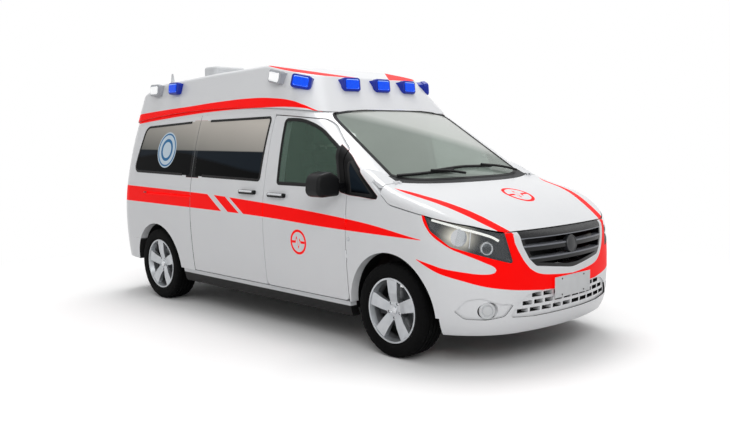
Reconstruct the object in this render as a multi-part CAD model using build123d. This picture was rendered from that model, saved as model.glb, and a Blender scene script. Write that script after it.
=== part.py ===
from build123d import *
from math import atan2, cos, pi, sin, sqrt
import os

# Overall sizes of the van in millimetres
LENGTH = 4895.0
WIDTH = 1928.0
WHEELBASE = 3200.0
FRONT_OVERHANG = 895.0
NOSE_X = LENGTH / 2
TAIL_X = -LENGTH / 2
HALF_WIDTH = WIDTH / 2
FRONT_AXLE_X = NOSE_X - FRONT_OVERHANG
REAR_AXLE_X = FRONT_AXLE_X - WHEELBASE

# Walls, gaps and glass
WALL = 70.0
SKIN = 28.0
GLASS = 6.0
PANEL_GAP = 7.0
SEAT = 0.3

# Wheels
TYRE_RADIUS = 338.0
TYRE_WIDTH = 214.0
RIM_RADIUS = 233.0
WHEEL_Y = 830.0
FRONT_ARCH_RADIUS = 415.0
REAR_ARCH_RADIUS = 392.0
SPINDLE_RADIUS = 30.0

# Heights that the panels share
SILL_TOP = 345.0
BELT_Z = 1110.0
FLOOR_LOW = 460.0
FLOOR_TOP = 520.0
TAIL_DOOR_LOW = 560.0
TAIL_DOOR_TOP = 1590.0

# Fore and aft places of the panel joints
DOOR_FRONT_X = FRONT_AXLE_X - 437.5
DOOR_REAR_X = DOOR_FRONT_X - 1011.0
SLIDE_REAR_X = DOOR_REAR_X - PANEL_GAP - 1105.0
BUMPER_X = FRONT_AXLE_X + 440.0
TAIL_DOOR_HALF = 757.0

# Windscreen centre line, foot and head
SCREEN_FOOT_X, SCREEN_FOOT_Z = FRONT_AXLE_X - 52.5, 1262.0
SCREEN_HEAD_X, SCREEN_HEAD_Z = FRONT_AXLE_X - 942.5, 1795.0
SCREEN_RUN = (SCREEN_FOOT_X - SCREEN_HEAD_X) / (SCREEN_HEAD_Z - SCREEN_FOOT_Z)

# Plan outlines of the lower body: height, then how far each end and side lies inside the overall size
LOWER_LEVELS = (
    # height, nose in, side in, tail in
    (230.0, 48.0, 60.0, 45.0),
    (300.0, 16.0, 40.0, 16.0),
    (450.0, 0.0, 20.0, 0.0),
    (640.0, 6.0, 6.0, 0.0),
    (820.0, 22.0, 0.0, 8.0),
    (1000.0, 62.0, 6.0, 22.0),
    (BELT_Z, 96.0, 17.0, 34.0),
)
# The front end needs one level more, under the bonnet's crown
FRONT_LEVELS = LOWER_LEVELS + ((1340.0, 170.0, 84.0, 60.0),)
# Plan outlines of the cab and load space above the belt
UPPER_LEVELS = (
    # height, side in, tail in
    (BELT_Z, 17.0, 34.0),
    (1300.0, 51.0, 50.0),
    (1500.0, 96.0, 70.0),
    (1815.0, 196.0, 105.0),
)
# Bonnet cross sections: distance ahead of the front axle, crown height, height at the edge
BONNET_STATIONS = (
    (1000.0, 780.0, 660.0),
    (782.5, 935.0, 845.0),
    (597.5, 1046.0, 945.0),
    (404.5, 1126.0, 1050.0),
    (147.5, 1197.0, 1130.0),
    (-102.5, 1256.0, 1218.0),
    (-440.0, 1312.0, 1284.0),
)
BONNET_EDGE_ROUND = 70.0
# Raised roof outlines: height, nose x, half width, tail x, nose radius, nose corner, tail corner
ROOF_LEVELS = (
    (1640.0, FRONT_AXLE_X - 795.0, HALF_WIDTH - 123.0, TAIL_X + 92.0, 4000.0, 180.0, 220.0),
    (2220.0, FRONT_AXLE_X - 1297.0, HALF_WIDTH - 305.0, TAIL_X + 180.0, 2800.0, 330.0, 160.0),
)
ROOF_WALL = 34.0
# Side view of the roof's top, front to rear
ROOF_TOP = (
    (FRONT_AXLE_X - 900.0, 1985.0),
    (FRONT_AXLE_X - 1152.5, 2040.0),
    (FRONT_AXLE_X - 1722.5, 2150.0),
    (FRONT_AXLE_X - 2502.5, 2118.0),
    (REAR_AXLE_X - 205.0, 2066.0),
    (TAIL_X + 60.0, 1905.0),
)
# Roof joint line as one arc in side view
GUTTER = ((TAIL_X - 60.0, 1656.0), (FRONT_AXLE_X - 1752.5, 1797.0), (FRONT_AXLE_X - 900.0, 1745.0))


def end_arcs(end_radius, corner, half):
    reach = sqrt((end_radius - corner) ** 2 - (half - corner) ** 2)
    grow = end_radius / (end_radius - corner)
    return reach, reach * grow, (half - corner) * grow


def plan_outline(z, nose, half, tail, nose_r, nose_c, tail_r, tail_c, inset=0.0):
    nose -= inset
    half -= inset
    tail += inset
    nose_c = max(nose_c - inset, 20.0)
    tail_c = max(tail_c - inset, 20.0)
    n_reach, n_x, n_y = end_arcs(nose_r, nose_c, half)
    t_reach, t_x, t_y = end_arcs(tail_r, tail_c, half)
    n_mid = nose - nose_r
    t_mid = tail + tail_r
    n_turn = (atan2(n_y - half + nose_c, n_x - n_reach) + pi / 2) / 2
    t_turn = (atan2(t_y - half + tail_c, t_x - t_reach) + pi / 2) / 2
    n_corner = (n_mid + n_reach + nose_c * cos(n_turn), half - nose_c + nose_c * sin(n_turn))
    t_corner = (t_mid - t_reach - tail_c * cos(t_turn), half - tail_c + tail_c * sin(t_turn))
    side_front = n_mid + n_reach
    side_rear = t_mid - t_reach
    edges = [
        Line((side_rear, -half), (side_front, -half)),
        ThreePointArc((side_front, -half), (n_corner[0], -n_corner[1]), (n_mid + n_x, -n_y)),
        ThreePointArc((n_mid + n_x, -n_y), (nose, 0), (n_mid + n_x, n_y)),
        ThreePointArc((n_mid + n_x, n_y), n_corner, (side_front, half)),
        Line((side_front, half), (side_rear, half)),
        ThreePointArc((side_rear, half), t_corner, (t_mid - t_x, t_y)),
        ThreePointArc((t_mid - t_x, t_y), (tail, 0), (t_mid - t_x, -t_y)),
        ThreePointArc((t_mid - t_x, -t_y), (t_corner[0], -t_corner[1]), (side_rear, -half)),
    ]
    return Plane.XY.offset(z) * make_face(edges)


def lower_body(levels, inset=0.0):
    outlines = []
    for z, nose_in, side_in, tail_in in levels:
        ends = (NOSE_X - nose_in, HALF_WIDTH - side_in, TAIL_X + tail_in)
        outlines.append(plan_outline(z, *ends, 1960.0, 550.0, 6000.0, 240.0, inset))
    return loft(outlines)


def upper_body(inset=0.0):
    outlines = []
    for z, side_in, tail_in in UPPER_LEVELS:
        front = SCREEN_FOOT_X - (z - SCREEN_FOOT_Z) * SCREEN_RUN
        ends = (front, HALF_WIDTH - side_in, TAIL_X + tail_in)
        outlines.append(plan_outline(z, *ends, 2300.0, 200.0, 6000.0, 240.0, inset))
    return loft(outlines)


def under_bonnet(drop=0.0):
    sections = []
    for ahead, crown, edge in BONNET_STATIONS:
        top = ThreePointArc((-1000, edge - drop), (0, crown - drop), (1000, edge - drop))
        rest = Polyline((1000, edge - drop), (1000, 100), (-1000, 100), (-1000, edge - drop))
        sections.append(Plane.YZ.offset(FRONT_AXLE_X + ahead) * make_face([top, rest]))
    return loft(sections)


def outline(points):
    places = [(p[0], p[1]) for p in points]
    radii = [p[2] if len(p) > 2 else 0.0 for p in points]
    return make_face(FilletPolyline(*places, radius=radii, close=True))


def along_y(face, y_low, y_high):
    return extrude(Plane.XZ.offset(-y_high) * face, amount=y_high - y_low)


def along_x(face, x_low, x_high):
    return extrude(Plane.YZ.offset(x_low) * face, amount=x_high - x_low)


def along_z(face, z_low, z_high):
    return extrude(Plane.XY.offset(z_low) * face, amount=z_high - z_low)


def block(x_low, x_high, y_low, y_high, z_low, z_high):
    size = Box(x_high - x_low, y_high - y_low, z_high - z_low)
    return Pos((x_low + x_high) / 2, (y_low + y_high) / 2, (z_low + z_high) / 2) * size


def upright(x, y, radius, z_low, z_high):
    return Pos(x, y, (z_low + z_high) / 2) * Cylinder(radius, z_high - z_low)


def crosswise(x, z, radius, y_low, y_high):
    return Pos(x, (y_low + y_high) / 2, z) * Rot(90, 0, 0) * Cylinder(radius, y_high - y_low)


def lengthwise(y, z, radius, x_low, x_high):
    return Pos((x_low + x_high) / 2, y, z) * Rot(0, 90, 0) * Cylinder(radius, x_high - x_low)


def flip(part):
    return mirror(part, about=Plane.XZ)


def under_gutter(drop):
    (x1, z1), (x2, z2), (x3, z3) = GUTTER
    top = ThreePointArc((x1, z1 - drop), (x2, z2 - drop), (x3, z3 - drop))
    rest = Polyline((x3, z3 - drop), (NOSE_X, z3 - drop), (NOSE_X, 0), (x1, 0), (x1, z1 - drop))
    return along_y(make_face([top, rest]), -1100, 1100)


nodes = {}


def keep(name, part):
    nodes[name] = part


# Shells of the body: outside less inside
lower_out = lower_body(LOWER_LEVELS)
lower_in = lower_body(LOWER_LEVELS, WALL)
upper_out = upper_body()
upper_in = upper_body(WALL)
cabin_out = lower_out + upper_out
cabin_in = lower_in + upper_in
cabin_shell = cabin_out - cabin_in
cabin_room = lower_body(LOWER_LEVELS, WALL + 6.0) + upper_body(WALL + 6.0)
glass_room = lower_body(LOWER_LEVELS, GLASS) + upper_body(GLASS)
cabin_skin = cabin_out - glass_room

# Front end under the bonnet's surface, with its long edge rounded
front_sharp = lower_body(FRONT_LEVELS) & under_bonnet()
front_edges = [e for e in front_sharp.edges() if e.center().Z > 850 and e.center().X > FRONT_AXLE_X - 300]
front_out = fillet(front_edges, BONNET_EDGE_ROUND)
front_in = lower_body(FRONT_LEVELS, WALL) & under_bonnet(SKIN)
front_thin = lower_body(FRONT_LEVELS, SKIN) & under_bonnet(SKIN)
front_wall = front_out - front_in - upper_out

# Raised roof, hollow, standing on the joint line
roof_solid = loft([plan_outline(z, n, h, t, nr, nc, 6000.0, tc) for z, n, h, t, nr, nc, tc in ROOF_LEVELS],
                  ruled=True)
roof_hollow = loft([plan_outline(z, n, h, t, nr, nc, 6000.0, tc, ROOF_WALL)
                    for z, n, h, t, nr, nc, tc in ROOF_LEVELS], ruled=True)


def under_roof_top(drop):
    points = [(x, z - drop, 250.0) for x, z in ROOF_TOP[1:-1]]
    first, last = ROOF_TOP[0], ROOF_TOP[-1]
    path = [(FRONT_AXLE_X, 1000), (FRONT_AXLE_X, 1930 - drop), (first[0], first[1] - drop)] + points
    path += [(last[0], last[1] - drop), (last[0] - 400, last[1] - 140 - drop), (last[0] - 400, 1000)]
    return along_y(outline(path), -1100, 1100)


front_head = upper_out & block(FRONT_AXLE_X - 1060, FRONT_AXLE_X, -1000, 1000, 1000, 1900)
roof_cut = under_gutter(0.0)
roof_outer = (roof_solid & under_roof_top(0.0)) - roof_cut - front_head
top_edges = [e for e in roof_outer.edges() if e.center().Z > 1880]
roof_outer = fillet(top_edges, 40.0)
roof = roof_outer - (roof_hollow & under_roof_top(ROOF_WALL))
keep("roof_cap", roof)

# Window outlines in side view, x and height and corner radius
DOOR_WINDOW = (
    (DOOR_FRONT_X - 846, 1180, 25), (DOOR_FRONT_X - 868, 1696, 35), (DOOR_FRONT_X - 539, 1696, 800),
    (DOOR_FRONT_X - 170, 1472, 25), (DOOR_FRONT_X - 72, 1180, 25))
QUARTER_WINDOW = (
    (DOOR_FRONT_X + 38, 1140, 12), (DOOR_FRONT_X + 300, 1134, 12), (DOOR_FRONT_X - 44, 1394, 10))
SLIDE_WINDOW = (
    (SLIDE_REAR_X + 44, 1206, 35), (SLIDE_REAR_X + 40, 1694, 35), (DOOR_REAR_X - 48, 1716, 35),
    (DOOR_REAR_X - 74, 1196, 35))
REAR_WINDOW = (
    (TAIL_X + 372, 1216, 60), (TAIL_X + 486, 1648, 90), (SLIDE_REAR_X - 47, 1693, 35),
    (SLIDE_REAR_X - 43, 1207, 35))
TAIL_WINDOW = ((90, 1150, 50), (90, 1505, 60), (640, 1495, 80), (672, 1165, 60))


def pane(points, y_low, y_high, shell):
    face = outline(points)
    return shell & along_y(offset(face, -SEAT), y_low, y_high)


def opening(points, y_low, y_high):
    return along_y(outline(points), y_low, y_high)


# Sliding door on the right, closed, with its rear window
below_rail = under_gutter(52.0)
door_zone = ((SLIDE_REAR_X, SILL_TOP + PANEL_GAP), (SLIDE_REAR_X, 1900), (DOOR_REAR_X - PANEL_GAP, 1900),
             (DOOR_REAR_X - PANEL_GAP, SILL_TOP + PANEL_GAP))
slide_door = cabin_shell & opening(door_zone, -1000, -600) & below_rail
slide_door -= opening(SLIDE_WINDOW, -1000, -600)
slide_door -= crosswise(REAR_AXLE_X, TYRE_RADIUS, REAR_ARCH_RADIUS, -1000, -600)
for x in (SLIDE_REAR_X + 120.0, DOOR_REAR_X - 120.0):
    slide_door += block(x - 40, x + 40, -915, -885, SILL_TOP + SEAT, SILL_TOP + 30)
keep("sliding_door", slide_door)

# Side walls from the doors to the rear corners
WALL_PLANE_Y = TAIL_DOOR_HALF + PANEL_GAP
rail_slot = block(TAIL_X + 586, SLIDE_REAR_X + 20, -1000, -925, 1014, 1032)


def side_wall(front_x):
    zone = outline((
        (TAIL_X - 100, TAIL_DOOR_LOW), (TAIL_X - 100, 1900), (front_x, 1900), (front_x, SILL_TOP + SEAT),
        (REAR_AXLE_X, SILL_TOP + SEAT), (REAR_AXLE_X, TAIL_DOOR_LOW)))
    wall = cabin_shell & along_y(zone, -1000, -WALL_PLANE_Y) & below_rail
    wall -= crosswise(REAR_AXLE_X, TYRE_RADIUS, REAR_ARCH_RADIUS, -1000, -600)
    return wall - opening(REAR_WINDOW, -1000, -600)


wall_right = side_wall(SLIDE_REAR_X - PANEL_GAP) - rail_slot
wall_left = side_wall(DOOR_REAR_X - PANEL_GAP) - opening(SLIDE_WINDOW, -1000, -600)

# Tail lamps stand in pockets of the rear corners
LAMP_ZONE = ((TAIL_X - 50, 805), (TAIL_X - 50, 1168), (TAIL_X + 100, 1168, 40), (TAIL_X + 150, 805, 40))
lamp_pocket = along_y(outline(LAMP_ZONE), -1000, -WALL_PLANE_Y - 22)
lamp_fill = along_y(offset(outline(LAMP_ZONE), -SEAT), -1000, -WALL_PLANE_Y - 22 - SEAT)
lamp_body = cabin_shell & lamp_fill
wall_right -= lamp_pocket
wall_left -= lamp_pocket
keep("tail_lamps", Compound(children=[lamp_body, flip(lamp_body)]))

# Front door outline
DOOR_ZONE = (
    (DOOR_REAR_X, SILL_TOP + PANEL_GAP, 40), (DOOR_REAR_X, 1727, 30), (DOOR_FRONT_X - 492, 1727, 600),
    (DOOR_FRONT_X - 113, 1459, 30), (DOOR_FRONT_X, 1130, 60), (DOOR_FRONT_X, SILL_TOP + PANEL_GAP, 40))

# Roof rail, screen pillars and header in one frame
leaf_room = block(TAIL_X - 100, TAIL_X + 330, -WALL_PLANE_Y, WALL_PLANE_Y, 0, TAIL_DOOR_TOP + PANEL_GAP)
rail_band = ((cabin_shell & roof_cut) - under_gutter(52.0 - SEAT)) - leaf_room
pillar_zone = (
    (DOOR_FRONT_X + PANEL_GAP, BELT_Z - 20), (DOOR_FRONT_X - 880, 1700), (DOOR_FRONT_X - 880, 1900),
    (NOSE_X, 1900), (NOSE_X, BELT_Z - 20))
pillars = (upper_out - upper_in) & along_y(outline(pillar_zone), -1000, 1000)
pillars -= roof_outer
frame = rail_band + pillars
frame -= along_y(offset(outline(DOOR_ZONE), PANEL_GAP), -1000, 1000) & under_gutter(52.0)
SCREEN = (
    (-742, 1226, 40), (742, 1226, 40), (664, 1742, 90),
    (330, 1764, 600), (-330, 1764, 600), (-664, 1742, 90))
screen_prism = along_x(outline(SCREEN), FRONT_AXLE_X - 1100, NOSE_X)
frame -= screen_prism
frame -= under_bonnet(12.0) & block(DOOR_FRONT_X + 250, NOSE_X, -880, 880, 900, 1400)
frame -= opening(QUARTER_WINDOW, -1000, 1000)
screen_fill = along_x(offset(outline(SCREEN), -SEAT), FRONT_AXLE_X - 1100, NOSE_X)
screen_skin = (upper_out - upper_body(10.0)) & screen_fill
screen_glass = screen_skin - front_out - roof_solid

# Rear doors, two leaves hinged at the corners
leaf_zone = outline(((-TAIL_DOOR_HALF, TAIL_DOOR_LOW + PANEL_GAP), (-TAIL_DOOR_HALF, TAIL_DOOR_TOP, 60),
                     (-PANEL_GAP / 2, TAIL_DOOR_TOP), (-PANEL_GAP / 2, TAIL_DOOR_LOW + PANEL_GAP)))
tail_window = outline([(-y, z, r) for y, z, r in TAIL_WINDOW])
tail_span = (TAIL_X - 100, TAIL_X + 330)
leaf = (cabin_shell & along_x(leaf_zone, *tail_span)) - along_x(tail_window, *tail_span)
leaf_glass = cabin_skin & along_x(offset(tail_window, -SEAT), *tail_span)
HEADER_Y = WALL_PLANE_Y - SEAT
header_zone = outline(((-HEADER_Y, TAIL_DOOR_TOP + PANEL_GAP), (-HEADER_Y, 1900),
                       (HEADER_Y, 1900), (HEADER_Y, TAIL_DOOR_TOP + PANEL_GAP)))
frame += (cabin_shell & along_x(header_zone, *tail_span) & under_gutter(52.0 - SEAT)) - roof_solid

# Front door with its window cut
door = cabin_shell & opening(DOOR_ZONE, -1000, -600)
door = (door & under_gutter(52.0 + PANEL_GAP)) - opening(DOOR_WINDOW, -1000, -600)
door_glass = pane(DOOR_WINDOW, -1000, -600, cabin_skin)

# Bonnet, cowl and front wings
SPLIT_LINE = (
    (FRONT_AXLE_X - 190, 1236), (FRONT_AXLE_X + 10, 1090, 120), (FRONT_AXLE_X + 330, 1037),
    (FRONT_AXLE_X + 610, 974, 400), (FRONT_AXLE_X + 745, 924, 60), (NOSE_X + 100, 924))


def over_split(lift):
    points = [(p[0], p[1] + lift) + p[2:] for p in SPLIT_LINE]
    points += [(NOSE_X + 100, 1500), (FRONT_AXLE_X - 190, 1500)]
    return along_y(outline(points), -1000, 1000)


BONNET_REAR_X = FRONT_AXLE_X - 82.5
BONNET_REAR_MID = FRONT_AXLE_X + 87.5


def ahead_of_cowl(shift):
    side_x, mid_x = BONNET_REAR_X + shift, BONNET_REAR_MID + shift
    rear = ThreePointArc((side_x, -740), (mid_x, 0), (side_x, 740))
    rest = Polyline((side_x, 740), (side_x, 1100), (NOSE_X + 100, 1100), (NOSE_X + 100, -1100),
                    (side_x, -1100), (side_x, -740))
    return along_z(make_face([rear, rest]), 500, 1500)


front_skin = front_out - front_thin
bonnet = front_skin & over_split(0.0) & ahead_of_cowl(0.0)
cowl = ((front_skin & over_split(SEAT)) - ahead_of_cowl(-PANEL_GAP)) - upper_out
cowl = cowl & block(FRONT_AXLE_X - 300, NOSE_X, -905, 905, 900, 1400)

# Nose cut-outs: lamps seen along the corner, grille and air slots seen from ahead
LAMP_PLANE = Plane(origin=(FRONT_AXLE_X, 0, 0), x_dir=(1, 1, 0), z_dir=(1, -1, 0))
LAMP_OUTLINE = ((-436, 1060, 10), (92, 960, 10), (166, 712, 14), (-262, 836, 60), (-392, 936, 60))
lamp_face = outline(LAMP_OUTLINE)
lamp_prism = extrude(LAMP_PLANE * lamp_face, amount=2200)
head_lamp = front_wall & extrude(LAMP_PLANE * offset(lamp_face, -SEAT), amount=2200)
head_lamp -= over_split(-PANEL_GAP)
GRILLE_OUTLINE = (
    (-508, 960, 10), (508, 960, 10), (482, 820, 150), (437, 735, 60), (380, 682, 50), (0, 634, 400),
    (-380, 682, 50), (-437, 735, 60), (-482, 820, 150))
grille_face = outline(GRILLE_OUTLINE)
nose_span = (BUMPER_X, NOSE_X + 50)
nose_zone = along_y(outline(((BUMPER_X + SEAT, 200), (BUMPER_X + SEAT, 1300), (NOSE_X + 100, 1300),
                             (NOSE_X + 100, 200))), -1000, 1000)
nose = (front_wall & nose_zone) - over_split(-PANEL_GAP)
nose -= lamp_prism
nose -= flip(lamp_prism)
nose -= along_x(grille_face, *nose_span)
nose -= crosswise(FRONT_AXLE_X, TYRE_RADIUS, FRONT_ARCH_RADIUS, -1100, 1100)
# Lower air intake: a shallow recess with three rows of slots
RECESS = 12.0
below_skin = lower_body(LOWER_LEVELS, RECESS)
INTAKE_OUTLINE = (
    (-330, 512, 300), (330, 512, 300), (455, 494, 60), (540, 446, 60), (594, 352, 14), (400, 338, 100),
    (-400, 338, 100), (-594, 352, 14), (-540, 446, 60), (-455, 494, 60))
nose -= along_x(outline(INTAKE_OUTLINE), *nose_span) - below_skin
SLOT_ROWS = (
    # height, half span, slots
    (484.0, 420.0, 8),
    (436.0, 500.0, 10),
    (386.0, 545.0, 10),
)
for z, half, count in SLOT_ROWS:
    pitch = 2 * half / count
    for i in range(count):
        y = -half + pitch * (i + 0.5)
        nose -= block(BUMPER_X, NOSE_X + 50, y - pitch / 2 + 9, y + pitch / 2 - 9, z - 14, z + 14)
# Fog lamp pods: hollows of the same depth at the corners
POD_OUTLINE = (
    (-236, 402, 8), (-150, 484, 60), (-60, 496, 80), (70, 452, 80), (168, 440, 8), (108, 362, 60),
    (-20, 344, 150), (-170, 352, 60))
pod = extrude(LAMP_PLANE * outline(POD_OUTLINE), amount=2200) - below_skin
nose -= pod
nose -= flip(pod)
FOG_Y, FOG_Z, FOG_RADIUS = 722.0, 408.0, 56.0
fog_lamps = []
for side in (-1, 1):
    nose -= lengthwise(side * FOG_Y, FOG_Z, FOG_RADIUS, BUMPER_X, NOSE_X)
    fog = front_wall & lengthwise(side * FOG_Y, FOG_Z, FOG_RADIUS - SEAT, BUMPER_X, NOSE_X)
    fog_lamps.append(Pos(4 - RECESS, 0, 0) * fog)
keep("front_bumper", nose)
keep("head_lamps", Compound(children=[head_lamp, flip(head_lamp)] + fog_lamps))

# Radiator grille: a rim with two slats left between three slots
grille = front_wall & along_x(offset(grille_face, -SEAT), *nose_span)
grille = grille - over_split(-PANEL_GAP)
slot_face = offset(grille_face, -24.0)
for z, tall in ((845.0, 46.0), (762.0, 46.0), (686.0, 38.0)):
    band = block(BUMPER_X, NOSE_X + 50, -600, 600, z - tall / 2, z + tall / 2)
    grille -= along_x(slot_face, *nose_span) & band
keep("grille", grille)

# Front wings with wheel arches and strut shelves
wing_zone = along_y(outline(((DOOR_FRONT_X + PANEL_GAP, SILL_TOP + SEAT), (DOOR_FRONT_X + PANEL_GAP, 1400),
                             (BUMPER_X, 1400), (BUMPER_X, SILL_TOP + SEAT))), -1000, -600)
wing = (front_wall & wing_zone) - over_split(-PANEL_GAP) - lamp_prism
wing -= opening(QUARTER_WINDOW, -1000, -600)
wing -= crosswise(FRONT_AXLE_X, TYRE_RADIUS, FRONT_ARCH_RADIUS, -1000, -600)
SHELF_Z = 905.0
shelf_room = lower_body(LOWER_LEVELS, WALL - 2.0)
wing += block(FRONT_AXLE_X - 90, FRONT_AXLE_X + 90, -920, -560, SHELF_Z, SHELF_Z + 20) & shelf_room

# Steering axis leans in towards its top
PIVOT_LOW = (770.0, 200.0)
PIVOT_HIGH = (640.0, SHELF_Z)
AXIS_LEAN = (PIVOT_LOW[0] - PIVOT_HIGH[0]) / (PIVOT_HIGH[1] - PIVOT_LOW[1])


def on_axis(radius, z_low, z_high):
    y_low = -PIVOT_LOW[0] + (z_low - PIVOT_LOW[1]) * AXIS_LEAN
    run = (z_high - z_low) * sqrt(1 + AXIS_LEAN ** 2)
    stand = Plane(origin=(FRONT_AXLE_X, y_low, z_low), z_dir=(0, AXIS_LEAN, 1))
    return extrude(stand * Circle(radius), amount=run)


# Door hinges: a pin and middle knuckle on the body, two knuckles on the leaf
PIN_RADIUS = 3.5
KNUCKLE_RADIUS = 6.0
HINGE_TALL = 90.0


def hinge_pin(x, y, z, root):
    part = upright(x, y, PIN_RADIUS, z - HINGE_TALL / 2, z + HINGE_TALL / 2)
    part += upright(x, y, KNUCKLE_RADIUS, z - 15, z + 15)
    return part + block(*root, z - 15, z + 15)


def hinge_leaf(x, y, z, root):
    part = None
    for low, high in ((z - HINGE_TALL / 2, z - 15 - SEAT), (z + 15 + SEAT, z + HINGE_TALL / 2)):
        ring = upright(x, y, KNUCKLE_RADIUS, low, high) + block(*root, low, high)
        ring -= upright(x, y, PIN_RADIUS + SEAT, low - 1, high + 1)
        part = ring if part is None else part + ring
    return part


DOOR_AXIS = (DOOR_FRONT_X + PANEL_GAP / 2, -HALF_WIDTH)
for z in (690.0, 950.0):
    relief = upright(*DOOR_AXIS, KNUCKLE_RADIUS + 1.5, z - HINGE_TALL / 2 - 1, z + HINGE_TALL / 2 + 1)
    body_root = (DOOR_AXIS[0], DOOR_AXIS[0] + 12, DOOR_AXIS[1], DOOR_AXIS[1] + 36)
    leaf_root = (DOOR_AXIS[0] - 12, DOOR_AXIS[0], DOOR_AXIS[1], DOOR_AXIS[1] + 36)
    door = (door - relief) + hinge_leaf(*DOOR_AXIS, z, leaf_root)
    wing = (wing - relief) + hinge_pin(*DOOR_AXIS, z, body_root)

TAIL_AXIS = (TAIL_X + 48.7, -TAIL_DOOR_HALF - PANEL_GAP / 2)
for z in (680.0, 1250.0):
    relief = upright(*TAIL_AXIS, KNUCKLE_RADIUS + 1.5, z - HINGE_TALL / 2 - 1, z + HINGE_TALL / 2 + 1)
    depth = TAIL_AXIS[0] + (40.0 if z < 1000 else 110.0)
    body_root = (TAIL_AXIS[0], depth, TAIL_AXIS[1] - 22, TAIL_AXIS[1])
    leaf_root = (TAIL_AXIS[0], depth, TAIL_AXIS[1], TAIL_AXIS[1] + 22)
    leaf = (leaf - relief) + hinge_leaf(*TAIL_AXIS, z, leaf_root)
    wall_right = (wall_right - relief) + hinge_pin(*TAIL_AXIS, z, body_root)
    wall_left = (wall_left - relief) + hinge_pin(*TAIL_AXIS, z, body_root)

BONNET_AXIS = (BONNET_REAR_X - PANEL_GAP / 2, 1235.0)
for mid in (-775.0, 775.0):
    relief = crosswise(*BONNET_AXIS, KNUCKLE_RADIUS + 1.5, mid - 31, mid + 31)
    pin = crosswise(*BONNET_AXIS, PIN_RADIUS, mid - 30, mid + 30)
    pin += crosswise(*BONNET_AXIS, KNUCKLE_RADIUS, mid - 10, mid + 10)
    pin += block(BONNET_AXIS[0] - 18, BONNET_AXIS[0], mid - 10, mid + 10, 1212, BONNET_AXIS[1])
    cowl = (cowl - relief) + pin
    bonnet -= relief
    for low, high in ((mid - 30, mid - 10 - SEAT), (mid + 10 + SEAT, mid + 30)):
        ring = crosswise(*BONNET_AXIS, KNUCKLE_RADIUS, low, high)
        ring += block(BONNET_AXIS[0], BONNET_AXIS[0] + 20, low, high, 1212, BONNET_AXIS[1])
        bonnet += ring - crosswise(*BONNET_AXIS, PIN_RADIUS + SEAT, low - 1, high + 1)

keep("bonnet", bonnet)
keep("cowl", cowl)
keep("wing_right", wing)
keep("wing_left", flip(wing))
keep("side_wall_right", wall_right)
keep("side_wall_left", flip(wall_left))
keep("cab_frame", frame)
keep("windscreen", screen_glass)
keep("front_door_right", door)
keep("front_door_left", flip(door))
keep("door_glass_right", door_glass)
keep("door_glass_left", flip(door_glass))
keep("tail_door_right", leaf)
keep("tail_door_left", flip(leaf))
keep("tail_glass_right", leaf_glass)
keep("tail_glass_left", flip(leaf_glass))
slide_pane = pane(SLIDE_WINDOW, -1000, -600, cabin_skin)
rear_pane = pane(REAR_WINDOW, -1000, -600, cabin_skin)
quarter_pane = pane(QUARTER_WINDOW, -1000, -600, upper_out - upper_body(GLASS))
side_panes = [slide_pane, rear_pane, quarter_pane]
keep("side_windows", Compound(children=side_panes + [flip(p) for p in side_panes]))

# Door handles and mirrors on the front doors
HANDLE_X, HANDLE_Z = DOOR_REAR_X + 187.0, 1094.0


def door_handle(x, z):
    grip = block(x - 105, x + 105, -978, -940, z - 17, z + 17)
    return fillet(grip.edges().filter_by(Axis.Y), 14) - cabin_out


handle = door_handle(HANDLE_X, HANDLE_Z)
slide_handle = door_handle(DOOR_REAR_X - 213.0, HANDLE_Z + 8.0)
MIRROR_X, MIRROR_Z = DOOR_FRONT_X - 60.0, 1245.0
mirror_face = outline((
    (-1198, 1142, 50), (-1184, 1284, 70), (-1066, 1308, 60),
    (-986, 1262, 40), (-986, 1130, 25), (-1140, 1124, 40)))
mirror_shell = along_x(mirror_face, MIRROR_X - 95, MIRROR_X + 45)
mirror_shell = fillet(mirror_shell.faces().sort_by(Axis.X)[-1].edges(), 24)
mirror_arm = block(MIRROR_X - 40, MIRROR_X + 25, -1000, -900, 1180, 1222) - cabin_out
mirror_part = mirror_shell + mirror_arm
keep("mirror_right", mirror_part)
keep("mirror_left", flip(mirror_part))
keep("handle_right", handle)
keep("handle_left", flip(handle))
keep("slide_handle", slide_handle)

# Rear bumper round the tail
rear_zone = outline(((TAIL_X - 100, 384), (TAIL_X - 100, TAIL_DOOR_LOW - SEAT),
                     (REAR_AXLE_X - 300, TAIL_DOOR_LOW - SEAT), (REAR_AXLE_X - 300, 345)))
rear_bumper = cabin_shell & along_y(rear_zone, -1000, 1000)
rear_bumper -= crosswise(REAR_AXLE_X, TYRE_RADIUS, REAR_ARCH_RADIUS, -1100, 1100)
keep("rear_bumper", rear_bumper)

# Floor with sills
floor_room = cabin_room & block(TAIL_X + 82, DOOR_FRONT_X, -1000, 1000, FLOOR_LOW, FLOOR_TOP)
floor = floor_room
LINER_RADIUS = 432.0
SILL_REAR_X = REAR_AXLE_X + LINER_RADIUS + 8.0
sill = cabin_shell & block(SILL_REAR_X, DOOR_FRONT_X + PANEL_GAP, -1000, -600, 232, SILL_TOP)
sill += block(SILL_REAR_X, DOOR_FRONT_X, -842, -780, 290, FLOOR_LOW + 10)
for side in (-1, 1):
    house = crosswise(REAR_AXLE_X, TYRE_RADIUS, LINER_RADIUS + 4 + SEAT, min(side * 634, side * 1000),
                      max(side * 634, side * 1000))
    floor -= house
floor += sill
floor += flip(sill)
JACK_X = (SILL_REAR_X + 120.0, DOOR_FRONT_X - 120.0)
JACK_Y, JACK_Z = 835.0, 215.0
for x in JACK_X:
    for side in (-1, 1):
        floor += block(x - 35, x + 35, side * JACK_Y - 30, side * JACK_Y + 30, JACK_Z, 300)
keep("floor_pan", floor)

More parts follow.
